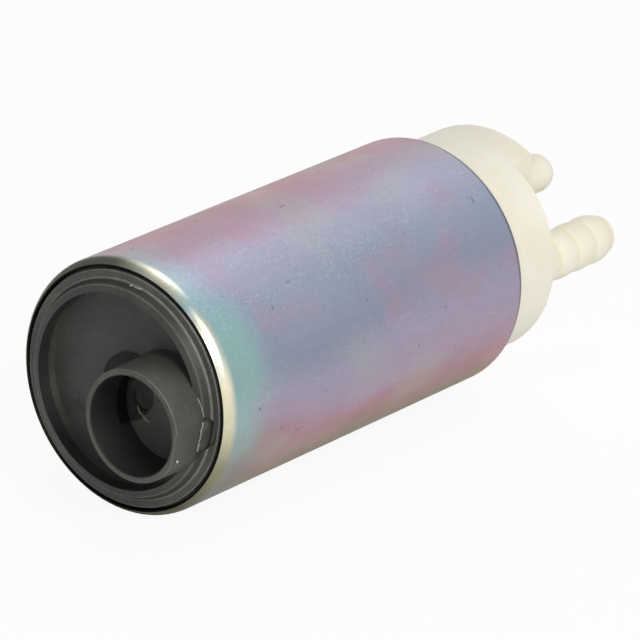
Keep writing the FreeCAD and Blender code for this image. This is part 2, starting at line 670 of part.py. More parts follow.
def make_commutator_hub():
    sleeve_front = CORE_BACK + INSULATOR_THICKNESS
    bore_r = SHAFT_R + SEAT_CLEARANCE
    return turned([
        (sleeve_front, bore_r),
        (sleeve_front, COMMUTATOR_HUB_R),
        (COMMUTATOR_FRONT, COMMUTATOR_HUB_R),
        (COMMUTATOR_FRONT, COMMUTATOR_R),
        (SEGMENT_FRONT, COMMUTATOR_R),
        (SEGMENT_FRONT, bore_r),
    ])


def make_segments():
    """Carbon segments, one solid each, parted by narrow gaps."""
    disc = ring(SEGMENT_FRONT, SEGMENT_BACK, COMMUTATOR_R, SEGMENT_INNER_R)
    half = SEGMENT_GAP / 2
    gap = block(SEGMENT_FRONT - 1, SEGMENT_BACK + 1, 0, COMMUTATOR_R + 1, -half, half)
    return Part.makeCompound(disc.cut(around_axis(gap, SEGMENT_COUNT)).Solids)


def make_brush(side):
    middle = side * BRUSH_OFFSET
    half_radial = BRUSH_RADIAL / 2
    half_across = BRUSH_ACROSS / 2
    return block(SEGMENT_BACK, BRUSH_BACK, middle - half_radial, middle + half_radial,
                 -half_across, half_across)


def tunnel_block(side, x_front, x_back, margin):
    middle = side * BRUSH_OFFSET
    half_radial = BRUSH_RADIAL / 2 + margin
    half_across = BRUSH_ACROSS / 2 + margin
    return block(x_front, x_back, middle - half_radial, middle + half_radial, -half_across, half_across)


def make_brush_holder():
    """Ring wall, plate, bearing hub and two brush towers in one moulding."""
    plate_front = HOLDER_BACK - HOLDER_PLATE
    holder = turned([
        (HOLDER_FRONT, FLANGE_R - HOLDER_RING_WALL),
        (HOLDER_FRONT, FLANGE_R),
        (HOLDER_BACK, FLANGE_R),
        (HOLDER_BACK, BUSHING_OUTER_R - BUSHING_SHOULDER),
        (UPPER_BUSHING_BACK, BUSHING_OUTER_R - BUSHING_SHOULDER),
        (UPPER_BUSHING_BACK, BUSHING_OUTER_R + SEAT_CLEARANCE),
        (TUNNEL_FRONT, BUSHING_OUTER_R + SEAT_CLEARANCE),
        (TUNNEL_FRONT, HOLDER_HUB_R),
        (plate_front, HOLDER_HUB_R),
        (plate_front, FLANGE_R - HOLDER_RING_WALL),
    ])
    bearing = rod(TUNNEL_FRONT - 1, UPPER_BUSHING_BACK, BUSHING_OUTER_R + SEAT_CLEARANCE)
    for side in (-1, 1):
        holder = holder.fuse(tunnel_block(side, TUNNEL_FRONT, TOWER_BACK, TOWER_WALL))
    holder = holder.cut(bearing)
    for side in (-1, 1):
        holder = holder.cut(tunnel_block(side, TUNNEL_FRONT - 1, TUNNEL_BACK, BRUSH_CLEARANCE))
    for angle in WINDOW_ANGLES:
        holder = holder.cut(rod_at(plate_front - 1, HOLDER_BACK + 1, WINDOW_R, WINDOW_OFFSET, angle))
    return holder.removeSplitter()


def cap_column(height, bottom):
    """Round column of the cap up to a height beyond the shell, its top edge rounded."""
    top = REAR + height
    middle = arc_point(top - CAP_EDGE, CAP_R - CAP_EDGE, CAP_EDGE, 45)
    return turned([
        (bottom, 0),
        (bottom, CAP_R),
        (top - CAP_EDGE, CAP_R),
        middle + (top, CAP_R - CAP_EDGE),
        (top, 0),
    ])


def barb_section():
    """Outline of the barb: a plain neck, rounded crests and a rounded, bored tip."""
    first_crest = REAR + BARB_LAST_CREST - BARB_PITCH * (BARB_CRESTS - 1)
    first_valley = first_crest - BARB_PITCH * (1 - BARB_CREST_SHARE)
    points = [
        (CAP_CEILING, 0),
        (CAP_CEILING, BARB_CREST_R),
        (first_valley - BARB_FIRST_SLOPE, BARB_CREST_R),
        (first_valley, BARB_NECK_R),
    ]
    for index in range(BARB_CRESTS):
        crest_x = first_crest + BARB_PITCH * index
        end_r = BARB_TIP_R if index == BARB_CRESTS - 1 else BARB_NECK_R
        points.append((crest_x, BARB_CREST_R, crest_x + BARB_PITCH * BARB_CREST_SHARE, end_r))
    tip_centre = REAR + BARB_END - BARB_TIP_ROUND
    tip_mid = arc_point(tip_centre, BARB_TIP_R - BARB_TIP_ROUND, BARB_TIP_ROUND, 45)
    points.append(tip_mid + (REAR + BARB_END, BARB_TIP_R - BARB_TIP_ROUND))
    points.append((REAR + BARB_END, 0))
    return points


def make_outlet_cover():
    """Flange, cap wall and plate, connector block, domed stub and barb in one moulding."""
    flange = rod(HOLDER_BACK, CAP_FLANGE_BACK, FLANGE_R)
    cover = flange.fuse(cap_column(CAP_LOW, HOLDER_BACK))
    reach = 2 * CAP_R
    slab = block(REAR, REAR + CAP_HIGH, -BLOCK_HALF_WIDTH, BLOCK_HALF_WIDTH, BLOCK_BOTTOM_Z, reach)
    slab = slab.makeFillet(BLOCK_EDGE, slab_edges(slab))
    cover = cover.fuse(cap_column(CAP_HIGH, REAR).common(slab))
    cover = cover.fuse(make_latch())
    cover = cover.cut(rod(HOLDER_BACK - 1, CAP_CEILING, CAP_CAVITY_R))
    cover = cover.fuse(make_stub())
    check_boss = rod(REAR + CHECK_BOSS_BOTTOM, CAP_CEILING + 1, CHECK_BOSS_R, BARB_Y, BARB_Z)
    check_boss = check_boss.common(rod(REAR, REAR + CAP_LOW, CAP_R))
    cover = cover.fuse(check_boss)
    cover = cover.fuse(turned(barb_section(), BARB_Y, BARB_Z))
    cover = cover.cut(valve_hollows())
    cover = cover.cut(connector_hollows())
    groove_front = CAP_FLANGE_BACK - SEAL_SET_BACK - SEAL_SLOT
    groove_r = BORE_R - SEAL_SIDE - 2 * SEAT_CLEARANCE
    groove = ring(groove_front, groove_front + SEAL_SLOT, FLANGE_R + 1, groove_r)
    return cover.cut(groove).removeSplitter()


def slab_edges(slab):
    """Edges that bound the block's outer face, and the two long edges at its bottom."""
    top = REAR + CAP_HIGH - 0.01
    chosen = []
    for edge in slab.Edges:
        on_top = min(corner.X for corner in edge.Vertexes) > top
        at_bottom = max(corner.Z for corner in edge.Vertexes) < BLOCK_BOTTOM_Z + 0.01
        along_x = edge.BoundBox.XLength > CAP_HIGH / 2
        if (on_top and edge.BoundBox.ZLength > 1) or (on_top and at_bottom) or (along_x and at_bottom):
            chosen.append(edge)
    return chosen


def latch_middle():
    return (LOWER_BLADE_Z + UPPER_BLADE_Z) / 2


def make_latch():
    """Wedge on the block's far side that the plug's clip snaps over."""
    back = REAR + CAP_HIGH - LATCH_SET_BACK
    foot = BLOCK_HALF_WIDTH - 0.5
    crest = BLOCK_HALF_WIDTH + LATCH_HEIGHT
    corners = [
        (back, foot),
        (back, BLOCK_HALF_WIDTH),
        (back - LATCH_LENGTH + LATCH_LEDGE, crest),
        (back - LATCH_LENGTH, crest),
        (back - LATCH_LENGTH, foot),
    ]
    width = (UPPER_BLADE_Z - LOWER_BLADE_Z + 2 * SOCKET_END_ROOM) * LATCH_WIDTH_SHARE
    bottom = latch_middle() - width / 2
    points = [Vector(x, y, bottom) for x, y in corners]
    face = Part.Face(Part.makePolygon(points + points[:1]))
    return face.extrude(Vector(0, 0, width))


def make_stub():
    bottom = REAR + CAP_HIGH - 1
    dome = REAR + STUB_DOME
    middle = arc_point(dome, 0, STUB_R, 45)
    return turned([
        (bottom, 0),
        (bottom, STUB_R),
        (dome, STUB_R),
        middle + (dome + STUB_R, 0),
    ], STUB_Y, STUB_Z)


def valve_hollows():
    check = rod(REAR + CHECK_BOSS_BOTTOM - 1, REAR + CHECK_CHAMBER_TOP, CHECK_CHAMBER_R, BARB_Y, BARB_Z)
    bore = rod(REAR + CHECK_CHAMBER_TOP - 1, REAR + BARB_END + 1, BARB_BORE_R, BARB_Y, BARB_Z)
    relief = rod(CAP_CEILING - 1, REAR + RELIEF_CHAMBER_TOP, RELIEF_CHAMBER_R, STUB_Y, STUB_Z)
    vent = rod(REAR + RELIEF_CHAMBER_TOP - 1, REAR + STUB_DOME + STUB_R + 1, VENT_R, STUB_Y, STUB_Z)
    return [check, bore, relief, vent]


def blade_block(z, x_front, x_back, margin):
    half_width = BLADE_WIDTH / 2 + margin
    half_thickness = BLADE_THICKNESS / 2 + margin
    return block(x_front, x_back, BLADE_Y - half_width, BLADE_Y + half_width,
                 z - half_thickness, z + half_thickness)


def connector_hollows():
    socket = block(REAR + SOCKET_FLOOR, REAR + CAP_HIGH + 1, SOCKET_LEFT, SOCKET_RIGHT,
                   LOWER_BLADE_Z - SOCKET_END_ROOM, UPPER_BLADE_Z + SOCKET_END_ROOM)
    slots = [blade_block(z, CAP_CEILING - 1, REAR + SOCKET_FLOOR + 1, SEAT_CLEARANCE)
             for z in (LOWER_BLADE_Z, UPPER_BLADE_Z)]
    return [socket] + slots


def make_terminal(z):
    """Flat blade with a bevelled tip."""
    blade = blade_block(z, REAR + BLADE_TAIL, REAR + BLADE_TOP, 0.0)
    tip_edges = [edge for edge in blade.Edges
                 if min(v.X for v in edge.Vertexes) > REAR + BLADE_TOP - 0.01]
    return blade.makeChamfer(BLADE_THICKNESS * 0.3, tip_edges)


def make_choke(z):
    """Ribbed coil on a straight wire that runs from the brush holder to the blade."""
    body_back = REAR + BLADE_TAIL - CHOKE_BLADE_GAP
    body_front = body_back - CHOKE_LENGTH
    pitch = CHOKE_LENGTH / CHOKE_TURNS
    groove_r = CHOKE_R - pitch * 0.4
    points = [
        (HOLDER_BACK, 0),
        (HOLDER_BACK, CHOKE_WIRE_R),
        (body_front, CHOKE_WIRE_R),
        (body_front, groove_r),
    ]
    for turn in range(CHOKE_TURNS):
        near = body_front + pitch * turn
        points.append((near + pitch / 2, CHOKE_R))
        points.append((near + pitch, groove_r))
    points += [(body_back, CHOKE_WIRE_R), (REAR + BLADE_TAIL, CHOKE_WIRE_R), (REAR + BLADE_TAIL, 0)]
    return turned(points, BLADE_Y, z)


def make_check_seat():
    front = REAR + CHECK_BOSS_BOTTOM
    return ring(front, front + CHECK_SEAT_LENGTH, CHECK_CHAMBER_R - SEAT_CLEARANCE, CHECK_SEAT_HOLE_R,
                BARB_Y, BARB_Z)


def make_poppet():
    """Flat disc with a guide stem."""
    front = REAR + CHECK_BOSS_BOTTOM + CHECK_SEAT_LENGTH
    return turned([
        (front, 0),
        (front, POPPET_R),
        (front + POPPET_THICKNESS, POPPET_R),
        (front + POPPET_THICKNESS, POPPET_STEM_R),
        (front + POPPET_THICKNESS + POPPET_STEM_LENGTH, POPPET_STEM_R),
        (front + POPPET_THICKNESS + POPPET_STEM_LENGTH, 0),
    ], BARB_Y, BARB_Z)


def make_check_spring():
    front = REAR + CHECK_BOSS_BOTTOM + CHECK_SEAT_LENGTH + POPPET_THICKNESS
    return coil(front, REAR + CHECK_CHAMBER_TOP, CHECK_SPRING_R, CHECK_SPRING_WIRE, CHECK_SPRING_TURNS,
                BARB_Y, BARB_Z)


def relief_ball_x():
    lift = math.sqrt(RELIEF_BALL_R ** 2 - RELIEF_SEAT_HOLE_R ** 2)
    return CAP_CEILING + RELIEF_SEAT_LENGTH + lift + RUNNING_CLEARANCE


def make_relief_seat():
    return ring(CAP_CEILING, CAP_CEILING + RELIEF_SEAT_LENGTH, RELIEF_CHAMBER_R - SEAT_CLEARANCE,
                RELIEF_SEAT_HOLE_R, STUB_Y, STUB_Z)


def make_relief_ball():
    return Part.makeSphere(RELIEF_BALL_R, Vector(relief_ball_x(), STUB_Y, STUB_Z))


def make_relief_spring():
    front = relief_ball_x() + math.sqrt(RELIEF_BALL_R ** 2 - RELIEF_SPRING_R ** 2) + RELIEF_SPRING_WIRE
    return coil(front, REAR + RELIEF_CHAMBER_TOP, RELIEF_SPRING_R, RELIEF_SPRING_WIRE, RELIEF_SPRING_TURNS,
                STUB_Y, STUB_Z)


def make_brush_spring(side):
    back = BRUSH_BACK + BRUSH_SPRING_LENGTH
    return coil(BRUSH_BACK + SEAT_CLEARANCE, back + SEAT_CLEARANCE, BRUSH_SPRING_R, BRUSH_SPRING_WIRE,
                BRUSH_SPRING_TURNS, side * BRUSH_OFFSET, 0.0)


def main():
    os.makedirs("parts", exist_ok=True)
    half_gap = (180 - MAGNET_SPAN) / 2
    save(make_shell(), "shell")
    save(make_inlet_cover(), "inlet_cover")
    save(make_seal(COVER_FRONT + SEAL_SET_BACK), "inlet_seal")
    save(rod(BUTTON_FRONT, BUTTON_FRONT + BUTTON_THICKNESS, BUTTON_R), "thrust_button")
    save(make_pump_body(), "pump_body")
    save(ring(HUB_BACK - LOWER_BUSHING_LENGTH, HUB_BACK, BUSHING_OUTER_R, BUSHING_INNER_R), "lower_bushing")
    save(make_magnet(half_gap), "magnet_near")
    save(make_magnet(half_gap + 180), "magnet_far")
    save(make_magnet_clip(-half_gap), "magnet_clip_top")
    save(make_magnet_clip(180 - half_gap), "magnet_clip_bottom")
    save(make_brush_holder(), "brush_holder")
    save(ring(UPPER_BUSHING_FRONT, UPPER_BUSHING_BACK, BUSHING_OUTER_R, BUSHING_INNER_R), "upper_bushing")
    save(make_outlet_cover(), "outlet_cover")
    save(make_seal(CAP_FLANGE_BACK - SEAL_SET_BACK - SEAL_SLOT), "outlet_seal")
    save(make_check_seat(), "check_valve_seat")
    save(make_check_spring(), "check_valve_spring")
    save(make_relief_seat(), "relief_valve_seat")
    save(make_relief_spring(), "relief_valve_spring")
    save(make_poppet(), "check_valve_poppet")
    save(make_relief_ball(), "relief_valve_ball")
    for z, name in ((LOWER_BLADE_Z, "lower"), (UPPER_BLADE_Z, "upper")):
        save(make_terminal(z), "terminal_" + name)
        save(make_choke(z), "choke_" + name)
    for side, name in ((-1, "near"), (1, "far")):
        save(make_brush(side), "brush_" + name)
        save(make_brush_spring(side), "brush_spring_" + name)
    save(make_shaft(), "shaft")
    save(make_impeller(), "impeller")
    save(slotted_disc(CORE_FRONT, CORE_BACK, CORE_R), "armature_core")
    insulator_r = CORE_R - INSULATOR_INSET
    save(slotted_disc(CORE_FRONT - INSULATOR_THICKNESS, CORE_FRONT, insulator_r), "front_insulator")
    save(slotted_disc(CORE_BACK, CORE_BACK + INSULATOR_THICKNESS, insulator_r), "rear_insulator")
    save(make_winding(), "armature_winding")
    washer_front = HUB_BACK + END_CLEARANCE
    washer_back = washer_front + WASHER_THICKNESS
    save(ring(washer_front, washer_back, WASHER_R, SHAFT_R + SEAT_CLEARANCE), "thrust_washer")
    save(make_commutator_hub(), "commutator_hub")
    save(make_segments(), "commutator_segments")


main()
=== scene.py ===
# %% [markdown]
# A fuel pump that sits inside a car's tank, lying on its side on a pale floor. The CAD model brings every solid
# at its real size. This script gives each one its finish, adds the small moulding marks that are too fine for the
# CAD model, and sets up the camera, the floor and the light.

# %% Load the CAD model
import bpy
import bmesh
import json
import math
import random
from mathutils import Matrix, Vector


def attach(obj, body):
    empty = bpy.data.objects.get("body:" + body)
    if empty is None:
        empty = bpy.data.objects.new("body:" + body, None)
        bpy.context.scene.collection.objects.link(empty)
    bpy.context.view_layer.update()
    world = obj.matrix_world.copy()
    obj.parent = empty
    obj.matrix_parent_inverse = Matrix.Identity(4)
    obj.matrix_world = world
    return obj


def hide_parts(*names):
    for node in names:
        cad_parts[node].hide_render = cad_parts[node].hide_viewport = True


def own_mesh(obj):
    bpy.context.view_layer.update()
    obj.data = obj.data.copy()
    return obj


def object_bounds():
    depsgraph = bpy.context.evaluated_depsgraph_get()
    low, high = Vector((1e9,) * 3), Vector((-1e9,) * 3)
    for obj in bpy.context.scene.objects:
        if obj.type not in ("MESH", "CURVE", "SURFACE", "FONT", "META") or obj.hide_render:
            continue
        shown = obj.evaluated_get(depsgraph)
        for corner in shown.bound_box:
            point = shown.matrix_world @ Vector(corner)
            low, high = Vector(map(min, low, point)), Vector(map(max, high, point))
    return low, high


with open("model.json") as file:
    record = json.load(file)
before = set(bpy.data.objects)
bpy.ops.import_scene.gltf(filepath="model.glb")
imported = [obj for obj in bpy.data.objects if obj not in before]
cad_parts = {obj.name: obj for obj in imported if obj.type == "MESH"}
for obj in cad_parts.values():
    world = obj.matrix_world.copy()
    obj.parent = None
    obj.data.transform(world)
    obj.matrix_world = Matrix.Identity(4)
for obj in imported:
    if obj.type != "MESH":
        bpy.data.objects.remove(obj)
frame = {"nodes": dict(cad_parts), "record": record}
cad_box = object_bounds()
MM = 0.001
print(len(frame["nodes"]), "CAD nodes, box", cad_box)

# %% [markdown]
# Colours are written as sRGB hex values, as a colour picker shows them, but shaders work with linear values, so
# one function converts them. A material here is a web of nodes. Wiring it by hand takes several lines a node, so
# one function adds a node, sets its properties and fills its inputs. A list of inputs fills the sockets in their
# order: a Map Range node takes its value, the two ends of the range that it comes from, and the two ends of the
# range that it goes to. A dictionary of inputs goes by the sockets' names or numbers.

# %% Colour and node helpers
def srgb(hex_colour):
    channels = [int(hex_colour[i:i + 2], 16) / 255 for i in (0, 2, 4)]
    linear = [c / 12.92 if c <= 0.04045 else ((c + 0.055) / 1.055) ** 2.4 for c in channels]
    return (*linear, 1.0)


def add(tree, kind, inputs, **settings):
    """Add a node. Another node, given as an input, stands for its first output."""
    node = tree.nodes.new(kind)
    for name, value in settings.items():
        setattr(node, name, value)
    for socket, value in inputs.items() if isinstance(inputs, dict) else enumerate(inputs):
        if isinstance(value, bpy.types.Node):
            value = value.outputs[0]
        if isinstance(value, bpy.types.NodeSocket):
            tree.links.new(value, node.inputs[socket])
        else:
            node.inputs[socket].default_value = value
    return node


def set_stops(ramp_node, stops):
    elements = ramp_node.color_ramp.elements
    while len(elements) < len(stops):
        elements.new(0.5)
    for element, (position, colour) in zip(elements, stops):
        element.position = position
        element.color = colour


def new_finish(name, roughness, metallic=0.0):
    material = bpy.data.materials.new(name)
    material.use_nodes = True
    tree = material.node_tree
    shader = tree.nodes["Principled BSDF"]
    shader.inputs["Roughness"].default_value = roughness
    shader.inputs["Metallic"].default_value = metallic
    place = tree.nodes.new("ShaderNodeTexCoord").outputs["Object"]
    return material, tree, shader, place


print("srgb mid grey:", srgb("808080")[0])

# %% [markdown]
# Most of the inner pieces are plain finishes: pressed, moulded, ground or drawn. Each still has a grain. A photo
# of each surface would need unwrapped meshes, so one recipe covers them all: a fine noise at the grain's real
# size drives both a small change of colour and a shallow bump, and a second, larger noise adds uneven patches.
# The noise scale is one over the size in metres. A stretch other than 1 lays the grain along an axis.

# %% Grained finish
UNEVEN_PATCH_MM = 8.333


def grained(name, dark, light, roughness, grain_mm, depth_mm, metallic=0.0, stretch=(1, 1, 1)):
    material, tree, shader, place = new_finish(name, roughness, metallic)
    laid = add(tree, "ShaderNodeMapping", {"Vector": place, "Scale": stretch})
    grain = add(tree, "ShaderNodeTexNoise", {"Vector": laid, "Scale": 1 / (grain_mm * MM), "Detail": 3.0})
    patches = add(tree, "ShaderNodeTexNoise", {
        "Vector": place, "Scale": 1 / (UNEVEN_PATCH_MM * MM), "Detail": 2.0})
    both = add(tree, "ShaderNodeMath", [grain, patches], operation="ADD")
    share = add(tree, "ShaderNodeMath", [both, 0.5], operation="MULTIPLY")
    tones = add(tree, "ShaderNodeValToRGB", [share])
    set_stops(tones, [(0.35, srgb(dark)), (0.65, srgb(light))])
    tree.links.new(tones.outputs["Color"], shader.inputs["Base Color"])
    bump = add(tree, "ShaderNodeBump", {"Height": grain, "Distance": depth_mm * MM, "Strength": 1.0})
    tree.links.new(bump.outputs["Normal"], shader.inputs["Normal"])
    return material


# %% Finishes of the inner pieces
# Each row holds a name, a dark and a light tone, roughness, grain size and depth in mm, metallic and stretch.
INNER_FINISHES = {
    # soft black without a shine
    "seal_rubber": ("moulded nitrile rubber", "0e0e0e", "1b1b1b", 0.6, 0.2, 0.004),
    # dark brown and a little smoother
    "valve_rubber": ("moulded fluorocarbon rubber", "1c1613", "2a211c", 0.55, 0.2, 0.004),
    # bright, with fine lines along the axis
    "hardened_steel": ("ground bearing steel", "a9abae", "c6c8cb", 0.18, 0.08, 0.0005, 1.0, (1, 6, 6)),
    # grey wire with a soft gleam
    "spring_steel": ("drawn spring steel", "84868a", "a5a7ab", 0.32, 0.1, 0.001, 1.0),
    # dull grey, with a band for each of the stacked sheets
    "lamination_steel": ("stamped electrical steel", "6c6f74", "8b8e93", 0.42, 0.5, 0.02, 1.0, (1, 0, 0)),
    # pale, satin and slightly pitted
    "pump_aluminium": ("machined die cast aluminium", "b4b6ba", "d0d2d5", 0.35, 0.25, 0.003, 1.0),
    # brown metal, grainy from the powder and damp with oil
    "sintered_bronze": ("oiled sintered bronze", "8a5c31", "b98350", 0.45, 0.12, 0.006, 1.0),
    # yellow with a clean gleam
    "brass": ("turned brass", "b8933f", "d9b866", 0.3, 0.1, 0.001, 1.0),
    # warm silver, drawn along the strip
    "tinned_brass": ("tinned brass strip", "b9b8b1", "d9d8d2", 0.25, 0.3, 0.002, 1.0, (1, 8, 8)),
    # red brown under lacquer, lumpy from its wound turns
    "copper_wire": ("enamelled copper wire", "7d3512", "b35c28", 0.3, 0.35, 0.05, 1.0),
    # black with a faint graphite sheen
    "carbon": ("pressed carbon", "17171a", "2b2b2f", 0.5, 0.1, 0.003),
    # charcoal, chalky and rough
    "ferrite": ("sintered ferrite", "2c2c2e", "434346", 0.62, 0.15, 0.006),
    # chestnut brown, hard and half matt
    "brown_plastic": ("moulded phenolic", "3b2114", "55321f", 0.48, 0.4, 0.004),
    # sand coloured, clouded by its fibres
    "insulator_plastic": ("moulded glass filled nylon", "b3a98c", "cfc6ab", 0.5, 0.3, 0.004),
    # dark brown, smooth from grinding
    "impeller_plastic": ("ground phenolic impeller", "2a211a", "3d3128", 0.4, 0.2, 0.002),
}
finishes = {slot: grained(*values) for slot, values in INNER_FINISHES.items()}
print(len(finishes), "inner finishes")

# %% [markdown]
# The shell is a steel tube with zinc plating and a thin chromate film. The film is as thin as light waves, so it
# shows soft bands of rose, lilac, blue and green that run along the tube. A thin film shader would colour it by
# the viewer's angle, but here the film's thickness belongs to the metal, so the bands are painted by place. The
# angle round the axis, as a share of a full turn from +Y over +Z, picks the colour.

# %% Angle round the shell
shell_finish, tree, shader, place = new_finish("chromated zinc on steel", 0.38, 1.0)
axes = add(tree, "ShaderNodeSeparateXYZ", [place])
shell_x = axes.outputs["X"]
minus_y = add(tree, "ShaderNodeMath", [axes.outputs["Y"], -1.0], operation="MULTIPLY")
minus_z = add(tree, "ShaderNodeMath", [axes.outputs["Z"], -1.0], operation="MULTIPLY")
angle = add(tree, "ShaderNodeMath", [minus_z, minus_y], operation="ARCTAN2")
turn = add(tree, "ShaderNodeMapRange", [angle, -math.pi, math.pi])
print("angle found by", len(tree.nodes), "nodes")

# %% [markdown]
# The bath ran off in streaks along the tube, so the bands are not straight. A noise that is stretched along the
# axis moves them to and fro.

# %% Drainage streaks that shift the bands
STREAK_MM = 16.667
WANDER_TURNS = 0.028
along = add(tree, "ShaderNodeMapping", {"Vector": place, "Scale": (0.35, 1.0, 1.0)})
drift = add(tree, "ShaderNodeTexNoise", {"Vector": along, "Scale": 1 / (STREAK_MM * MM), "Detail": 3.0})
wander = add(tree, "ShaderNodeMapRange", [drift, 0.3, 0.7, -WANDER_TURNS, WANDER_TURNS])
shifted = add(tree, "ShaderNodeMath", [turn, wander], operation="ADD")
print("bands wander", round(360 * WANDER_TURNS, 1), "degrees to each side")

# %% Film colours by angle, in degrees
BAND_COLOURS = [
    (0, "a59aa6"), (30, "a8909a"), (72, "b88b94"), (80, "ad848f"), (104, "a89bae"), (112, "a1a0b4"),
    (124, "a2a4b9"), (136, "96a0b3"), (160, "8d94a6"), (176, "a29cb0"), (190, "a896aa"), (202, "a77e88"),
    (218, "9a7e6b"), (228, "8e8169"), (262, "8f9a9c"), (300, "8f96ac"), (360, "a59aa6"),
]


def around_tube(colours):
    return [(degrees / 360, srgb(colour)) for degrees, colour in colours]


bands = add(tree, "ShaderNodeValToRGB", [shifted])
set_stops(bands, around_tube(BAND_COLOURS))
print(len(BAND_COLOURS), "film colours around the tube")

# %% [markdown]
# The film is also patchy, with clouds of rose and pale green about a finger's width across. One soft noise gives
# both: rose where it is high and green where it is low. A Mix node has a set of sockets for each kind of data, so
# the numbers of those for colours are kept by name.

# %% Cloudy patches
CLOUD_MM = 14
COLOUR_A, COLOUR_B, MIXED_COLOUR = 6, 7, 2
clouds = add(tree, "ShaderNodeTexNoise", {"Vector": place, "Scale": 1 / (CLOUD_MM * MM), "Detail": 2.0})
rose_share = add(tree, "ShaderNodeMapRange", [clouds, 0.52, 0.68, 0.0, 0.24], interpolation_type="SMOOTHSTEP")
rose = add(tree, "ShaderNodeMix", {
    "Factor": rose_share, COLOUR_A: bands, COLOUR_B: srgb("bb8496")}, data_type="RGBA")
green_share = add(tree, "ShaderNodeMapRange", [clouds, 0.44, 0.32, 0.0, 0.22], interpolation_type="SMOOTHSTEP")
patched = add(tree, "ShaderNodeMix", {
    "Factor": green_share, COLOUR_A: rose.outputs[MIXED_COLOUR], COLOUR_B: srgb("a3b29f")}, data_type="RGBA")
print("clouds are about", CLOUD_MM, "mm across")

# %% [markdown]
# Near the rolled front edge the film is thicker and turns teal, olive on the lower side. The tint fades along the
# axis with the uneven edge that a dipped part shows, and it reaches less far where the tube drained first. It is
# weak on the far side and underneath, which a pair of fades by angle sees to.

# %% Teal tint at the front
RAGGED_MM = 11.111
UNEVEN_M = 0.003
TINT_COLOURS = [
    (0, "73786f"), (70, "8fa3a8"), (104, "a2b5bd"), (116, "9ab8c1"), (130, "92b6bc"), (146, "90b6b2"),
    (168, "91b3b1"), (184, "9ab9b8"), (198, "93aaa8"), (208, "868c8a"), (220, "747a72"), (360, "73786f"),
]
ragged = add(tree, "ShaderNodeTexNoise", {"Vector": place, "Scale": 1 / (RAGGED_MM * MM), "Detail": 3.0})
uneven = add(tree, "ShaderNodeMapRange", [ragged, 0.3, 0.7, -UNEVEN_M, UNEVEN_M])
sag = add(tree, "ShaderNodeMapRange", [turn, 106 / 360, 152 / 360, 0.004, 0.0], interpolation_type="SMOOTHSTEP")
sagged_x = add(tree, "ShaderNodeMath", [shell_x, sag], operation="ADD")
front_x = add(tree, "ShaderNodeMath", [sagged_x, uneven], operation="ADD")
teal_share = add(tree, "ShaderNodeMapRange", [
    front_x, -0.0305, -0.0215, 0.85, 0.0], interpolation_type="SMOOTHSTEP")
near_top = add(tree, "ShaderNodeMapRange", [turn, 70 / 360, 102 / 360, 0.3, 1.0], interpolation_type="SMOOTHSTEP")
near_foot = add(tree, "ShaderNodeMapRange", [turn, 225 / 360, 260 / 360, 1.0, 0.2], interpolation_type="SMOOTHSTEP")
window = add(tree, "ShaderNodeMath", [near_top, near_foot], operation="MULTIPLY")
teal_here = add(tree, "ShaderNodeMath", [teal_share, window], operation="MULTIPLY")
tint = add(tree, "ShaderNodeValToRGB", [turn])
set_stops(tint, around_tube(TINT_COLOURS))
teal = add(tree, "ShaderNodeMix", {
    "Factor": teal_here, COLOUR_A: patched.outputs[MIXED_COLOUR], COLOUR_B: tint}, data_type="RGBA")
print(len(TINT_COLOURS), "tints near the front")

# %% [markdown]
# On the bend itself the film goes from olive over straw yellow to a cold grey and back, so another ramp by angle
# holds the bend's colours. The ramp also holds painted light: painted highlights of the lamps where it is near
# white, and painted dark reflections at its darkest stops. It ends sharply, within three millimetres of the front,
# where the bend begins.

# %% Straw yellow film, painted highlights and painted reflections on the rolled edge
# Near white stops, at 97 to 107 and 166 to 184 degrees, are painted highlights; the dark ones are painted
# reflections.
ROLL_FILM_AND_LIGHT = [
    (0, "8a8c7c"), (70, "7c8175"), (86, "888c7e"), (97, "d2d2be"), (107, "f0ebd2"), (116, "c2c3ae"), (127, "879da1"),
    (140, "bdb7a0"), (152, "c4cbc0"), (166, "efe5cb"), (184, "ded8ba"), (205, "969379"), (240, "6d6a58"),
    (360, "8a8c7c"),
]
roll_mix_share = add(tree, "ShaderNodeMapRange", [
    shell_x, -0.0332, -0.0318, 0.95, 0.0], interpolation_type="SMOOTHSTEP")
painted_roll_ramp = add(tree, "ShaderNodeValToRGB", [turn])
set_stops(painted_roll_ramp, around_tube(ROLL_FILM_AND_LIGHT))
roll_colour_mix = add(tree, "ShaderNodeMix", {
    "Factor": roll_mix_share, COLOUR_A: teal.outputs[MIXED_COLOUR], COLOUR_B: painted_roll_ramp}, data_type="RGBA")
print(len(ROLL_FILM_AND_LIGHT), "film colours around the roll")

# %% [markdown]
# Plated sheet is never clean. It has a crystal sparkle, drawn at 0.35 mm so that it shows, hair scratches from
# handling, and a few dark nicks. All three change how bright the film is and leave its hue alone, so they are
# worked out as one factor.

# %% Sparkle, hair scratches and nicks
CRYSTAL_MM = 0.35
SCRATCH_MM = 0.5
NICK_MM = 2.0
sparkle = add(tree, "ShaderNodeTexVoronoi", {"Vector": place, "Scale": 1 / (CRYSTAL_MM * MM)})
grain = add(tree, "ShaderNodeMapRange", [sparkle.outputs["Color"], 0.0, 1.0, 0.92, 1.02])
scratch_lay = add(tree, "ShaderNodeMapping", {
    "Vector": place, "Rotation": (0.0, 0.5, 0.35), "Scale": (0.12, 1.0, 1.0)})
scratch_noise = add(tree, "ShaderNodeTexNoise", {
    "Vector": scratch_lay, "Scale": 1 / (SCRATCH_MM * MM), "Detail": 2.0})
scratches = add(tree, "ShaderNodeMapRange", [scratch_noise, 0.66, 0.74, 0.0, 0.12])
scratched = add(tree, "ShaderNodeMath", [grain, scratches], operation="ADD")
nick_noise = add(tree, "ShaderNodeTexNoise", {"Vector": place, "Scale": 1 / (NICK_MM * MM), "Detail": 5.0})
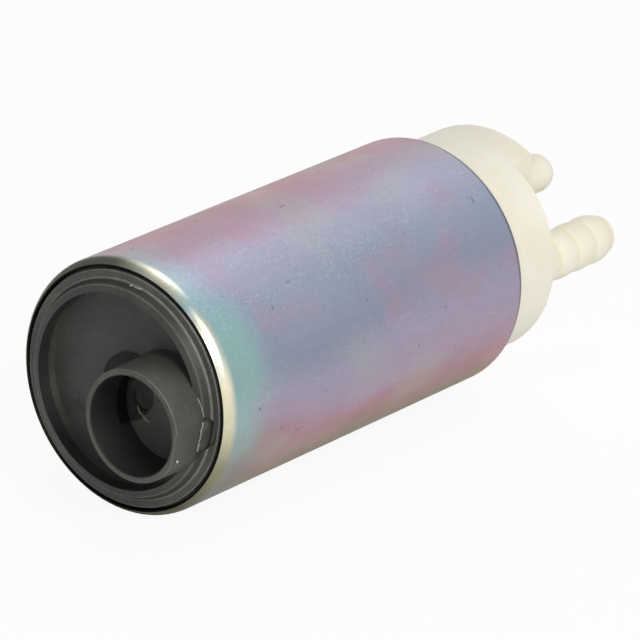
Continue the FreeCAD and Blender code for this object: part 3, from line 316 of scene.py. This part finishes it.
nicks = add(tree, "ShaderNodeMapRange", [nick_noise, 0.69, 0.75, 1.0, 0.58])
brightness = add(tree, "ShaderNodeMath", [scratched, nicks], operation="MULTIPLY")
print("marks from", CRYSTAL_MM, "to", NICK_MM, "mm")

# %% [markdown]
# Where the upper side was rubbed, short bright dashes crowd together. Their white is a painted glint, kept to the
# band from 96 to 158 degrees round the tube where the lamps' highlight lies. They could be drawn one by one, but
# there are hundreds, so a Voronoi pattern places them: a dash is the middle of a cell, and the cells are long
# because the pattern is squeezed across the rubbing. A slow noise sways them, so they do not stand in rows.

# %% Rubbed dashes with a painted glint
DASH_MM = 0.36
SWAY_MM = 3
sway = add(tree, "ShaderNodeTexNoise", {"Vector": place, "Scale": 1 / (SWAY_MM * MM)})
swayed = add(tree, "ShaderNodeVectorMath", [
    sway.outputs["Color"], (SWAY_MM * MM, SWAY_MM * MM, SWAY_MM * MM), place], operation="MULTIPLY_ADD")
dash_lay = add(tree, "ShaderNodeMapping", {"Vector": swayed, "Scale": (1.8, 0.14, 0.5)})
dashes = add(tree, "ShaderNodeTexVoronoi", {"Vector": dash_lay, "Scale": 1 / (DASH_MM * MM)})
dash_middle = add(tree, "ShaderNodeMapRange", [dashes, 0.10, 0.24, 0.7, 0.0], interpolation_type="SMOOTHSTEP")
in_streaks = add(tree, "ShaderNodeMapRange", [drift, 0.35, 0.55, 0.3, 1.0], interpolation_type="SMOOTHSTEP")
front_half = add(tree, "ShaderNodeMapRange", [shell_x, -0.004, 0.016, 1.0, 0.35], interpolation_type="SMOOTHSTEP")
crowd = add(tree, "ShaderNodeMath", [in_streaks, front_half], operation="MULTIPLY")
# painted glint: only the band where the lamps' highlight lies gets the white dashes
past_top = add(tree, "ShaderNodeMapRange", [turn, 96 / 360, 120 / 360, 0.05, 1.0], interpolation_type="SMOOTHSTEP")
to_side = add(tree, "ShaderNodeMapRange", [turn, 128 / 360, 158 / 360, 1.0, 0.05], interpolation_type="SMOOTHSTEP")
highlight_band = add(tree, "ShaderNodeMath", [past_top, to_side], operation="MULTIPLY")
glint_area = add(tree, "ShaderNodeMath", [crowd, highlight_band], operation="MULTIPLY")
glint_share = add(tree, "ShaderNodeMath", [glint_area, dash_middle], operation="MULTIPLY")
glinting_dashes = add(tree, "ShaderNodeMix", {
    "Factor": glint_share, COLOUR_A: roll_colour_mix.outputs[MIXED_COLOUR], COLOUR_B: srgb("f4f6fa")}, data_type="RGBA")
print("dashes are", DASH_MM, "mm cells, longest along Y")

# %% [markdown]
# Where the shell meets each cover, the narrow gap lies in shade, and that shade is painted on the shell's sheared
# edges as a thin dark line. The edges are part of the shell's mesh, so the line is painted by the distance from the
# axis: the film falls to almost black inside the radius of each lip, a little further in at the rear. The bend at
# the rear is darkened with painted shade too, a dark rim beside the cream cap.

# %% Painted shade at the sheared lips
def axis_distance(tree, place, y_mm=0.0, z_mm=0.0):
    """Distance of a point from a line along X."""
    moved = add(tree, "ShaderNodeVectorMath", [place, (0, y_mm * MM, z_mm * MM)], operation="SUBTRACT")
    flat = add(tree, "ShaderNodeVectorMath", [moved, (0, 1, 1)], operation="MULTIPLY")
    return add(tree, "ShaderNodeVectorMath", [flat], operation="LENGTH").outputs["Value"]


LIP_R_MM = (18.10, 18.20)
REAR_LIP_STEP_MM = 0.35
REAR_BEND_X_MM = (33.1, 33.7)
lip_r = axis_distance(tree, place)
rear_step = add(tree, "ShaderNodeMapRange", [
    shell_x, -0.001, 0.001, 0.0, REAR_LIP_STEP_MM * MM], interpolation_type="SMOOTHSTEP")
lip_reach = add(tree, "ShaderNodeMath", [lip_r, rear_step], operation="ADD")
# painted shade of the gap between shell and cover
lip_gap_shade = add(tree, "ShaderNodeMapRange", [
    lip_reach, LIP_R_MM[0] * MM, LIP_R_MM[1] * MM, 0.06, 1.0], interpolation_type="SMOOTHSTEP")
# painted shade on the rear bend
rear_shade = add(tree, "ShaderNodeMapRange", [
    shell_x, REAR_BEND_X_MM[0] * MM, REAR_BEND_X_MM[1] * MM, 1.0, 0.3], interpolation_type="SMOOTHSTEP")
lip_shade_tone = add(tree, "ShaderNodeMath", [lip_gap_shade, rear_shade], operation="MULTIPLY")
shell_tone = add(tree, "ShaderNodeMath", [brightness, lip_shade_tone], operation="MULTIPLY")
film = add(tree, "ShaderNodeVectorMath", {
    0: glinting_dashes.outputs[MIXED_COLOUR], "Scale": shell_tone}, operation="SCALE")
tree.links.new(film.outputs["Vector"], shader.inputs["Base Color"])
print("lips are dark inside", LIP_R_MM[0], "mm")

# %% Uneven gloss and fine pitting of the shell
PIT_DEPTH_MM = 0.004
matt = add(tree, "ShaderNodeMapRange", [ragged, 0.3, 0.7, 0.30, 0.42])
tree.links.new(matt.outputs["Result"], shader.inputs["Roughness"])
pitting = add(tree, "ShaderNodeBump", {"Height": sparkle, "Distance": PIT_DEPTH_MM * MM, "Strength": 1.0})
tree.links.new(pitting.outputs["Normal"], shader.inputs["Normal"])
finishes["zinc_plated_steel"] = shell_finish
print("shell finish has", len(tree.nodes), "nodes")

# %% [markdown]
# The inlet cover is black acetal straight from the mould: a dull surface with a fine spark-eroded grain of about
# 0.2 mm, greyer where dust and handling have rubbed it. A first noise gives the grain and its bump, and a second
# one, about 7 mm wide, the dust.

# %% Black moulded cover
MOULD_GRAIN_MM = 0.22
DUST_MM = 7.143
black_finish, tree, shader, place = new_finish("black moulded acetal", 0.5)
grain = add(tree, "ShaderNodeTexNoise", {"Vector": place, "Scale": 1 / (MOULD_GRAIN_MM * MM), "Detail": 4.0})
dust = add(tree, "ShaderNodeTexNoise", {
    "Vector": place, "Scale": 1 / (DUST_MM * MM), "Detail": 5.0, "Roughness": 0.65})
both = add(tree, "ShaderNodeMath", [grain, dust], operation="ADD")
half = add(tree, "ShaderNodeMath", [both, 0.5], operation="MULTIPLY")
tones = add(tree, "ShaderNodeValToRGB", [half])
set_stops(tones, [(0.38, srgb("323330")), (0.6, srgb("474743"))])
bump = add(tree, "ShaderNodeBump", {"Height": grain, "Distance": 0.012 * MM, "Strength": 1.0})
tree.links.new(bump.outputs["Normal"], shader.inputs["Normal"])
finishes["black_plastic"] = black_finish
print("mould grain", MOULD_GRAIN_MM, "mm")

# %% [markdown]
# The cover's bore wall is darkened with painted shade, and the bore's floor and the dish in it are made much paler
# with painted light, which fades away deeper in. Painting these by hand would need an unwrapped mesh, but they lie
# at known places, so fades over the distance from the bore's axis and along X find them. Each fade is a factor on
# the tone: 1 leaves it, less is darker, more is paler. The Mix node's sockets for plain numbers get names here too.

# %% Painted shade and light in the bore
SPOUT_Y = -7.427
SPOUT_Z = -1.660
NUMBER_A, NUMBER_B = 2, 3
cover_x = add(tree, "ShaderNodeSeparateXYZ", [place]).outputs["X"]
bore_r = axis_distance(tree, place, SPOUT_Y, SPOUT_Z)
# painted shade on the bore's wall
bore_wall_shade = add(tree, "ShaderNodeMapRange", [
    bore_r, 7.48 * MM, 7.60 * MM, 0.38, 1.0], interpolation_type="SMOOTHSTEP")
# painted light on the bore's floor and dish
floor_light = add(tree, "ShaderNodeMapRange", [
    cover_x, -33.05 * MM, -32.40 * MM, 4.2, 0.6], interpolation_type="SMOOTHSTEP")
dish_light = add(tree, "ShaderNodeMapRange", [
    cover_x, -33.5 * MM, -33.2 * MM, 1.0, 1.8], interpolation_type="SMOOTHSTEP")
floor_and_dish_light = add(tree, "ShaderNodeMath", [floor_light, dish_light], operation="MULTIPLY")
inside = add(tree, "ShaderNodeMapRange", [
    bore_r, 7.28 * MM, 7.38 * MM, 1.0, 0.0], interpolation_type="SMOOTHSTEP")
lit_bore_floor = add(tree, "ShaderNodeMix", {"Factor": inside, NUMBER_A: 1.0, NUMBER_B: floor_and_dish_light})
bore_light_and_shade = add(tree, "ShaderNodeMath", [bore_wall_shade, lit_bore_floor], operation="MULTIPLY")
print("bore axis at", SPOUT_Y, SPOUT_Z)

# %% [markdown]
# The recess's steep wall is darkened with painted shade, and its lower part near the foot is made paler with
# painted light, as a lit fillet into the floor would show. The wall is a narrow band of radius below the ring's
# crest. The spout's mouth is made pale with a painted highlight, most of all just behind its outermost edge.

# %% Painted shade on the recess wall and a painted highlight on the spout's mouth
pump_r = axis_distance(tree, place)
below_crest = add(tree, "ShaderNodeMapRange", [
    cover_x, -35.65 * MM, -35.55 * MM, 0.0, 1.0], interpolation_type="SMOOTHSTEP")
wall_start = add(tree, "ShaderNodeMapRange", [
    pump_r, 14.20 * MM, 14.34 * MM, 0.0, 1.0], interpolation_type="SMOOTHSTEP")
wall_end = add(tree, "ShaderNodeMapRange", [
    pump_r, 14.54 * MM, 14.60 * MM, 1.0, 0.0], interpolation_type="SMOOTHSTEP")
wall_band = add(tree, "ShaderNodeMath", [wall_start, wall_end], operation="MULTIPLY")
low_wall_band = add(tree, "ShaderNodeMath", [wall_band, below_crest], operation="MULTIPLY")
# painted shade on the wall, painted light near its foot
wall_shade_foot_light = add(tree, "ShaderNodeMapRange", [
    cover_x, -33.75 * MM, -33.45 * MM, 0.4, 1.2], interpolation_type="SMOOTHSTEP")
wall_light_and_shade = add(tree, "ShaderNodeMix", {"Factor": low_wall_band, NUMBER_A: 1.0, NUMBER_B: wall_shade_foot_light})
# painted highlight on the spout's mouth
mouth_face_tone = add(tree, "ShaderNodeMapRange", [
    cover_x, -41.29 * MM, -41.25 * MM, 0.7, 1.0], interpolation_type="SMOOTHSTEP")
mouth_rim_highlight = add(tree, "ShaderNodeMapRange", [
    cover_x, -41.20 * MM, -41.00 * MM, 2.2, 1.0], interpolation_type="SMOOTHSTEP")
mouth_light = add(tree, "ShaderNodeMath", [mouth_face_tone, mouth_rim_highlight], operation="MULTIPLY")
print("wall and mouth have", len(tree.nodes), "nodes so far")

# %% [markdown]
# The ring's edges and the flat beside its foot get painted highlights, its groove painted shade, and the boss in
# the middle is darkened with painted shade as well. A ramp over the radius, in mm, holds a quarter of each tone's
# factor, because a ramp holds no more than 1. A groove with painted shade is also less glossy.

# %% Painted highlights and shade on the ring
RING_LIGHT_AND_SHADE = [
    (4.75, 0.09), (5.0, 0.25), (15.40, 0.25), (15.47, 0.5), (15.60, 0.5), (15.68, 0.15), (16.12, 0.15),
    (16.22, 0.8), (16.34, 0.8), (16.44, 0.36), (17.25, 0.36), (17.34, 0.6), (17.46, 0.6), (17.50, 0.25),
]
EDGE_RAMP_MM = 20.0
EDGE_FACTOR = 4.0
# painted highlights and painted shade by radius
radius_share = add(tree, "ShaderNodeMapRange", [pump_r, 0.0, EDGE_RAMP_MM * MM])
edges = add(tree, "ShaderNodeValToRGB", [radius_share])
set_stops(edges, [(radius / EDGE_RAMP_MM, (share, share, share, 1.0)) for radius, share in RING_LIGHT_AND_SHADE])
ring_light_factor = add(tree, "ShaderNodeMath", [edges, EDGE_FACTOR], operation="MULTIPLY")
ring_light_and_shade = add(tree, "ShaderNodeMix", {"Factor": below_crest, NUMBER_A: 1.0, NUMBER_B: ring_light_factor})
gloss_of_painted_shade = add(tree, "ShaderNodeMapRange", [ring_light_and_shade, 0.1, 1.0, 0.12, 0.5], interpolation_type="SMOOTHSTEP")
tree.links.new(gloss_of_painted_shade.outputs["Result"], shader.inputs["Specular IOR Level"])
print(len(RING_LIGHT_AND_SHADE), "tones over the radius")

# %% Painted light and shade on the black cover, all factors together
bore_and_mouth = add(tree, "ShaderNodeMath", [bore_light_and_shade, mouth_light], operation="MULTIPLY")
wall_and_edges = add(tree, "ShaderNodeMath", [wall_light_and_shade, ring_light_and_shade], operation="MULTIPLY")
cover_light_and_shade = add(tree, "ShaderNodeMath", [bore_and_mouth, wall_and_edges], operation="MULTIPLY")
cover_tones_lit = add(tree, "ShaderNodeVectorMath", {0: tones, "Scale": cover_light_and_shade}, operation="SCALE")
tree.links.new(cover_tones_lit.outputs["Vector"], shader.inputs["Base Color"])
print("black cover finish has", len(tree.nodes), "nodes")

# %% [markdown]
# The outlet cover is natural acetal, a milky cream plastic. A little light goes into it, so its shaded folds turn
# warm. Subsurface light alone would have to be strong to show that on the barb, so the valleys between its ribs
# get a warmer colour as well. The surface is smooth with a silky sheen and faint flow marks.

# %% Cream moulded cover
FLOW_MARK_MM = 9.091
SKIN_MM = 0.4
BARB_Y = -11.0
BARB_Z = -1.85
cream_finish, tree, shader, place = new_finish("natural acetal", 0.42)
flow = add(tree, "ShaderNodeTexNoise", {"Vector": place, "Scale": 1 / (FLOW_MARK_MM * MM), "Detail": 4.0})
tones = add(tree, "ShaderNodeValToRGB", [flow])
set_stops(tones, [(0.3, srgb("e6dfcb")), (0.7, srgb("eeead9"))])
barb_r = axis_distance(tree, place, BARB_Y, BARB_Z)
cap_x = add(tree, "ShaderNodeSeparateXYZ", [place]).outputs["X"]
low_radius = add(tree, "ShaderNodeMapRange", [
    barb_r, 3.46 * MM, 3.64 * MM, 0.28, 0.0], interpolation_type="SMOOTHSTEP")
on_barb = add(tree, "ShaderNodeMapRange", [cap_x, 0.0484, 0.0492, 0.0, 1.0], interpolation_type="SMOOTHSTEP")
valley = add(tree, "ShaderNodeMath", [low_radius, on_barb], operation="MULTIPLY")
warm = add(tree, "ShaderNodeMix", {
    "Factor": valley, COLOUR_A: tones, COLOUR_B: srgb("f3e2ae")}, data_type="RGBA")
tree.links.new(warm.outputs[MIXED_COLOUR], shader.inputs["Base Color"])
skin = add(tree, "ShaderNodeTexNoise", {"Vector": place, "Scale": 1 / (SKIN_MM * MM), "Detail": 3.0})
bump = add(tree, "ShaderNodeBump", {"Height": skin, "Distance": 0.006 * MM, "Strength": 1.0})
tree.links.new(bump.outputs["Normal"], shader.inputs["Normal"])
shader.inputs["Subsurface Weight"].default_value = 0.12
shader.inputs["Subsurface Radius"].default_value = (1.0, 0.7, 0.4)
shader.inputs["Subsurface Scale"].default_value = 0.8 * MM
finishes["cream_plastic"] = cream_finish
print("cream cover finish has", len(tree.nodes), "nodes")

# %% [markdown]
# Every CAD node keeps its shape. The record says which finish it takes, so its plain material gives way to that.

# %% Give every CAD node its finish
slot_of = {row["node"]: row["material_slot"] for row in frame["record"]["subparts"]}
for name, node in frame["nodes"].items():
    node.data.materials.clear()
    node.data.materials.append(finishes[slot_of[name]])
print("finishes set on", len(slot_of), "nodes")

# %% [markdown]
# Moulding leaves thin torn flash where the mould's halves met. A bevelled curve would be round, and flash is a
# thin leaf, so each line of it is a strip: a row of points is extruded into edges, the edges are raised by uneven
# steps, and the strip gets a thickness.

# %% Flash strips
def finished(name, mesh_in_work, material):
    data = bpy.data.meshes.new(name)
    mesh_in_work.to_mesh(data)
    mesh_in_work.free()
    piece = bpy.data.objects.new(name, data)
    bpy.context.scene.collection.objects.link(piece)
    data.materials.append(material)
    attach(piece, "casing")
    return piece


def flash_strip(name, points_mm, rise_mm, thickness_mm, lean=(-1.0, 0.0, 0.0)):
    strip = bmesh.new()
    last = strip.verts.new(Vector(points_mm[0]) * MM)
    for point in points_mm[1:]:
        last = bmesh.ops.extrude_vert_indiv(strip, verts=[last])["verts"][0]
        last.co = Vector(point) * MM
    raised = bmesh.ops.extrude_edge_only(strip, edges=strip.edges[:])["geom"]
    for corner in raised:
        if isinstance(corner, bmesh.types.BMVert):
            corner.co += Vector(lean) * rise_mm * MM * random.uniform(0.35, 1.0)
    strip.normal_update()
    bmesh.ops.solidify(strip, geom=strip.faces[:], thickness=thickness_mm * MM)
    bmesh.ops.recalc_face_normals(strip, faces=strip.faces[:])
    return finished(name, strip, flash_finish)


random.seed(4)
# the flash is painted pale grey, a painted highlight of the light that its thin torn edges catch
flash_finish = grained("torn acetal flash", "7d7b72", "c4c0b2", 0.35, 0.3, 0.01)
print("flash finish made")

# %% Flash round the spout's foot
FOOT_R_MM = 8.50
foot_points = []
for step in range(15):
    foot_turn = math.radians(138 + 2.2 * step)
    foot_points.append((
        -35.42, SPOUT_Y + FOOT_R_MM * math.cos(foot_turn), SPOUT_Z + FOOT_R_MM * math.sin(foot_turn)))
flash_strip("spout_foot_flash", foot_points, 0.22, 0.07)
print(len(foot_points), "points round the foot")

# %% Flash along the spout's flat
FLAT_TURN = math.radians(192.6)
FLAT_EDGE_MM = 7.83
across = Vector((0.0, math.cos(FLAT_TURN), math.sin(FLAT_TURN)))
down = Vector((0.0, -math.sin(FLAT_TURN), math.cos(FLAT_TURN)))
flat_middle = Vector((-35.68, SPOUT_Y, SPOUT_Z)) + across * FLAT_EDGE_MM
flat_points = []
for step in range(16):
    flat_points.append(flat_middle - down * (2.75 - 0.31 * step) + across * random.uniform(0.0, 0.06))
flash_strip("spout_flat_flash", flat_points, 0.30, 0.10, tuple(across + Vector((-0.4, 0.0, 0.0))))
print(len(flat_points), "points along the flat")

# %% Flash on the bore's floor and at the ring's gate
crack_points = [
    (-33.62, -2.24, -2.14), (-33.62, -2.50, -2.70), (-33.62, -2.78, -3.06), (-33.62, -3.10, -3.20),
    (-33.62, -3.51, -3.48), (-33.62, -3.90, -3.90), (-33.62, -4.42, -4.01),
]
flash_strip("bore_floor_flash", crack_points, 0.35, 0.12)

gate_points = [
    (-34.25, -1.90, 16.10), (-34.28, -2.30, 15.98), (-34.30, -2.70, 15.90), (-34.30, -3.20, 15.88),
    (-34.25, -3.75, 15.90),
]
flash_strip("ring_gate_flash", gate_points, 0.45, 0.16)
print(len(crack_points) + len(gate_points), "points on the floor and at the gate")

# %% [markdown]
# Beside the flat, the mould's gate left a small round stub on the spout's wall. A ball, half sunk in the wall,
# shows the same bright dot.

# %% Cut pin of the mould's gate on the spout's wall
NUB_R_MM = 0.22
nub = bmesh.new()
bmesh.ops.create_uvsphere(nub, u_segments=16, v_segments=10, radius=NUB_R_MM * MM)
bmesh.ops.translate(nub, verts=nub.verts, vec=Vector((-40.05, -14.70, -5.50)) * MM)
# the nub takes the same pale finish, a painted highlight
finished("spout_gate_nub", nub, flash_finish)
print("gate nub", 2 * NUB_R_MM, "mm across")

# %% [markdown]
# A spring shortens when its brush or valve is pushed back. A CAD node is never bent. A merged copy of each coil
# stands in for its CAD node, which is hidden.

# %% Merged copies of the springs
SPRING_TRAVEL_MM = {
    "brush_spring_near": ("brush_near_slide", 2.0),
    "brush_spring_far": ("brush_far_slide", 2.0),
    "check_valve_spring": ("check_valve_slide", 1.8),
    "relief_valve_spring": ("relief_valve_slide", 1.0),
}
MERGE_MM = 0.001
for node_name, (joint, travel_mm) in SPRING_TRAVEL_MM.items():
    node = frame["nodes"][node_name]
    wire = bmesh.new()
    wire.from_mesh(node.data)
    wire.transform(node.matrix_world)
    bmesh.ops.remove_doubles(wire, verts=wire.verts, dist=MERGE_MM * MM)
    coil = finished(node_name + "_coil", wire, finishes[slot_of[node_name]])
    coil.data.shade_smooth()
    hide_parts(node_name)
    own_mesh(coil)

# %% [markdown]
# The floor is a wide pale sheet, as in a photographer's light tent. To the camera it is mixed with plain white, so
# the background comes out white while the shadow under the pump stays. More light would whiten it too, but would
# wash out the pump. Mirror rays see the white on the camera's side only, and the shaded paper under and behind
# the pump.

# %% Floor
FLOOR_Z = cad_box[0][2]
FLOOR_HALF_M = 6.0
floor_mesh = bmesh.new()
bmesh.ops.create_grid(floor_mesh, x_segments=1, y_segments=1, size=FLOOR_HALF_M)
bmesh.ops.translate(floor_mesh, verts=floor_mesh.verts, vec=(0, 0, FLOOR_Z))
floor_data = bpy.data.meshes.new("floor")
floor_mesh.to_mesh(floor_data)
floor_mesh.free()
floor = bpy.data.objects.new("floor", floor_data)
bpy.context.scene.collection.objects.link(floor)
print("floor at", FLOOR_Z)

# %% White paper
def seen_white(tree, share, mirror_share):
    """Share of plain white for camera and glass rays, and another share for mirror rays."""
    path = add(tree, "ShaderNodeLightPath", [])
    direct = add(tree, "ShaderNodeMath", [
        path.outputs["Is Camera Ray"], path.outputs["Is Transmission Ray"]], operation="MAXIMUM")
    seen = add(tree, "ShaderNodeMath", [direct, share], operation="MULTIPLY")
    mirror = add(tree, "ShaderNodeMath", [path.outputs["Is Glossy Ray"], mirror_share], operation="MULTIPLY")
    return add(tree, "ShaderNodeMath", [seen, mirror], operation="MAXIMUM")


FIBRE_MM = 1.25
PAPER_WHITE_SHARE = 0.92
paper, tree, shader, place = new_finish("white paper", 0.9)
fibres = add(tree, "ShaderNodeTexNoise", {"Vector": place, "Scale": 1 / (FIBRE_MM * MM), "Detail": 2.0})
tones = add(tree, "ShaderNodeValToRGB", [fibres])
set_stops(tones, [(0.3, srgb("f0f0ef")), (0.7, srgb("f5f5f4"))])
tree.links.new(tones.outputs["Color"], shader.inputs["Base Color"])
white = add(tree, "ShaderNodeEmission", {"Color": (1, 1, 1, 1), "Strength": 1.0})
beside = add(tree, "ShaderNodeSeparateXYZ", [place]).outputs["Y"]
lit_side = add(tree, "ShaderNodeMapRange", [beside, -0.020, -0.006, 0.85, 0.0], interpolation_type="SMOOTHSTEP")
both = add(tree, "ShaderNodeMixShader", [seen_white(tree, PAPER_WHITE_SHARE, lit_side), shader, white])
tree.links.new(both.outputs["Shader"], tree.nodes["Material Output"].inputs["Surface"])
floor.data.materials.append(paper)
print("paper is", PAPER_WHITE_SHARE, "plain white to the camera")

# %% [markdown]
# The light is a soft studio set. An even grey surround lights everything. The camera sees it as white, and the
# tube mirrors it as white too, darker towards the far side, as a wall of dark cloth there would show.

# %% World
SURROUND_STRENGTH = 0.28
world = bpy.data.worlds.new("studio")
bpy.context.scene.world = world
world.use_nodes = True
tree = world.node_tree
surround = tree.nodes["Background"]
surround.inputs["Color"].default_value = (0.96, 0.98, 1.0, 1.0)
surround.inputs["Strength"].default_value = SURROUND_STRENGTH
direction = add(tree, "ShaderNodeTexCoord", []).outputs["Generated"]
far_side = add(tree, "ShaderNodeVectorMath", [direction, (-0.8, 1.0, 0.0)], operation="DOT_PRODUCT")
mirrored = add(tree, "ShaderNodeMapRange", [
    far_side.outputs["Value"], 0.18, 0.45, 1.0, 0.08], interpolation_type="SMOOTHSTEP")
backdrop = add(tree, "ShaderNodeBackground", {"Color": (1, 1, 1, 1), "Strength": 1.0})
both = add(tree, "ShaderNodeMixShader", [seen_white(tree, 1.0, mirrored), surround, backdrop])
tree.links.new(both.outputs["Shader"], tree.nodes["World Output"].inputs["Surface"])
print("surround strength", SURROUND_STRENGTH)

# %% [markdown]
# A large soft box above and to the right is the main light, and a small one beside the camera draws the line on
# the rolled edge. One box above and a weak one behind keep the top and the outlet end readable. The one behind is
# hidden from mirror rays, or it would draw a white rim on the shell. All of them point at the shell's middle.

# %% Lamps
def soft_box(name, place_m, size_m, watts):
    lamp = bpy.data.lights.new(name, "AREA")
    lamp.shape = "DISK"
    lamp.size = size_m
    lamp.energy = watts
    holder = bpy.data.objects.new(name, lamp)
    holder.location = place_m
    holder.rotation_euler = (-Vector(place_m)).to_track_quat("-Z", "Y").to_euler()
    bpy.context.scene.collection.objects.link(holder)
    return holder


soft_box("key", (-0.30, -0.80, 0.62), 0.45, 6.5)
soft_box("camera side", (-0.85, -0.5, 0.4), 0.15, 1.3)
soft_box("top", (0.40, 0.05, 1.0), 0.5, 1.9)
back_fill = soft_box("back fill", (0.55, 0.85, 0.30), 0.4, 2.0)
back_fill.visible_glossy = False
print(len(bpy.data.lights), "lamps")

# %% [markdown]
# The camera stands where the photograph's camera stood, found from the circles and edges of the pump. It is far
# away with a long lens, so the tube hardly narrows. Turning it to look beside the pump places the pump left of
# the picture's middle, and no lens shift is needed.

# %% Camera
CAMERA_PLACE = Vector((-0.604266, -0.490007, 0.289553))
LOOKS_AT = Vector((0.00405, -0.00481, 0.00031))
PICTURE_PIXELS = 640
FOCAL_PIXELS = 5741.6
camera_data = bpy.data.cameras.new("camera")
camera_data.sensor_width = 36.0
camera_data.lens = FOCAL_PIXELS * camera_data.sensor_width / PICTURE_PIXELS
camera = bpy.data.objects.new("camera", camera_data)
camera.location = CAMERA_PLACE
camera.rotation_euler = (LOOKS_AT - CAMERA_PLACE).to_track_quat("-Z", "Y").to_euler()
bpy.context.scene.collection.objects.link(camera)
bpy.context.scene.camera = camera
bpy.context.scene.view_settings.view_transform = "Standard"
print("lens", round(camera_data.lens, 1), "mm")
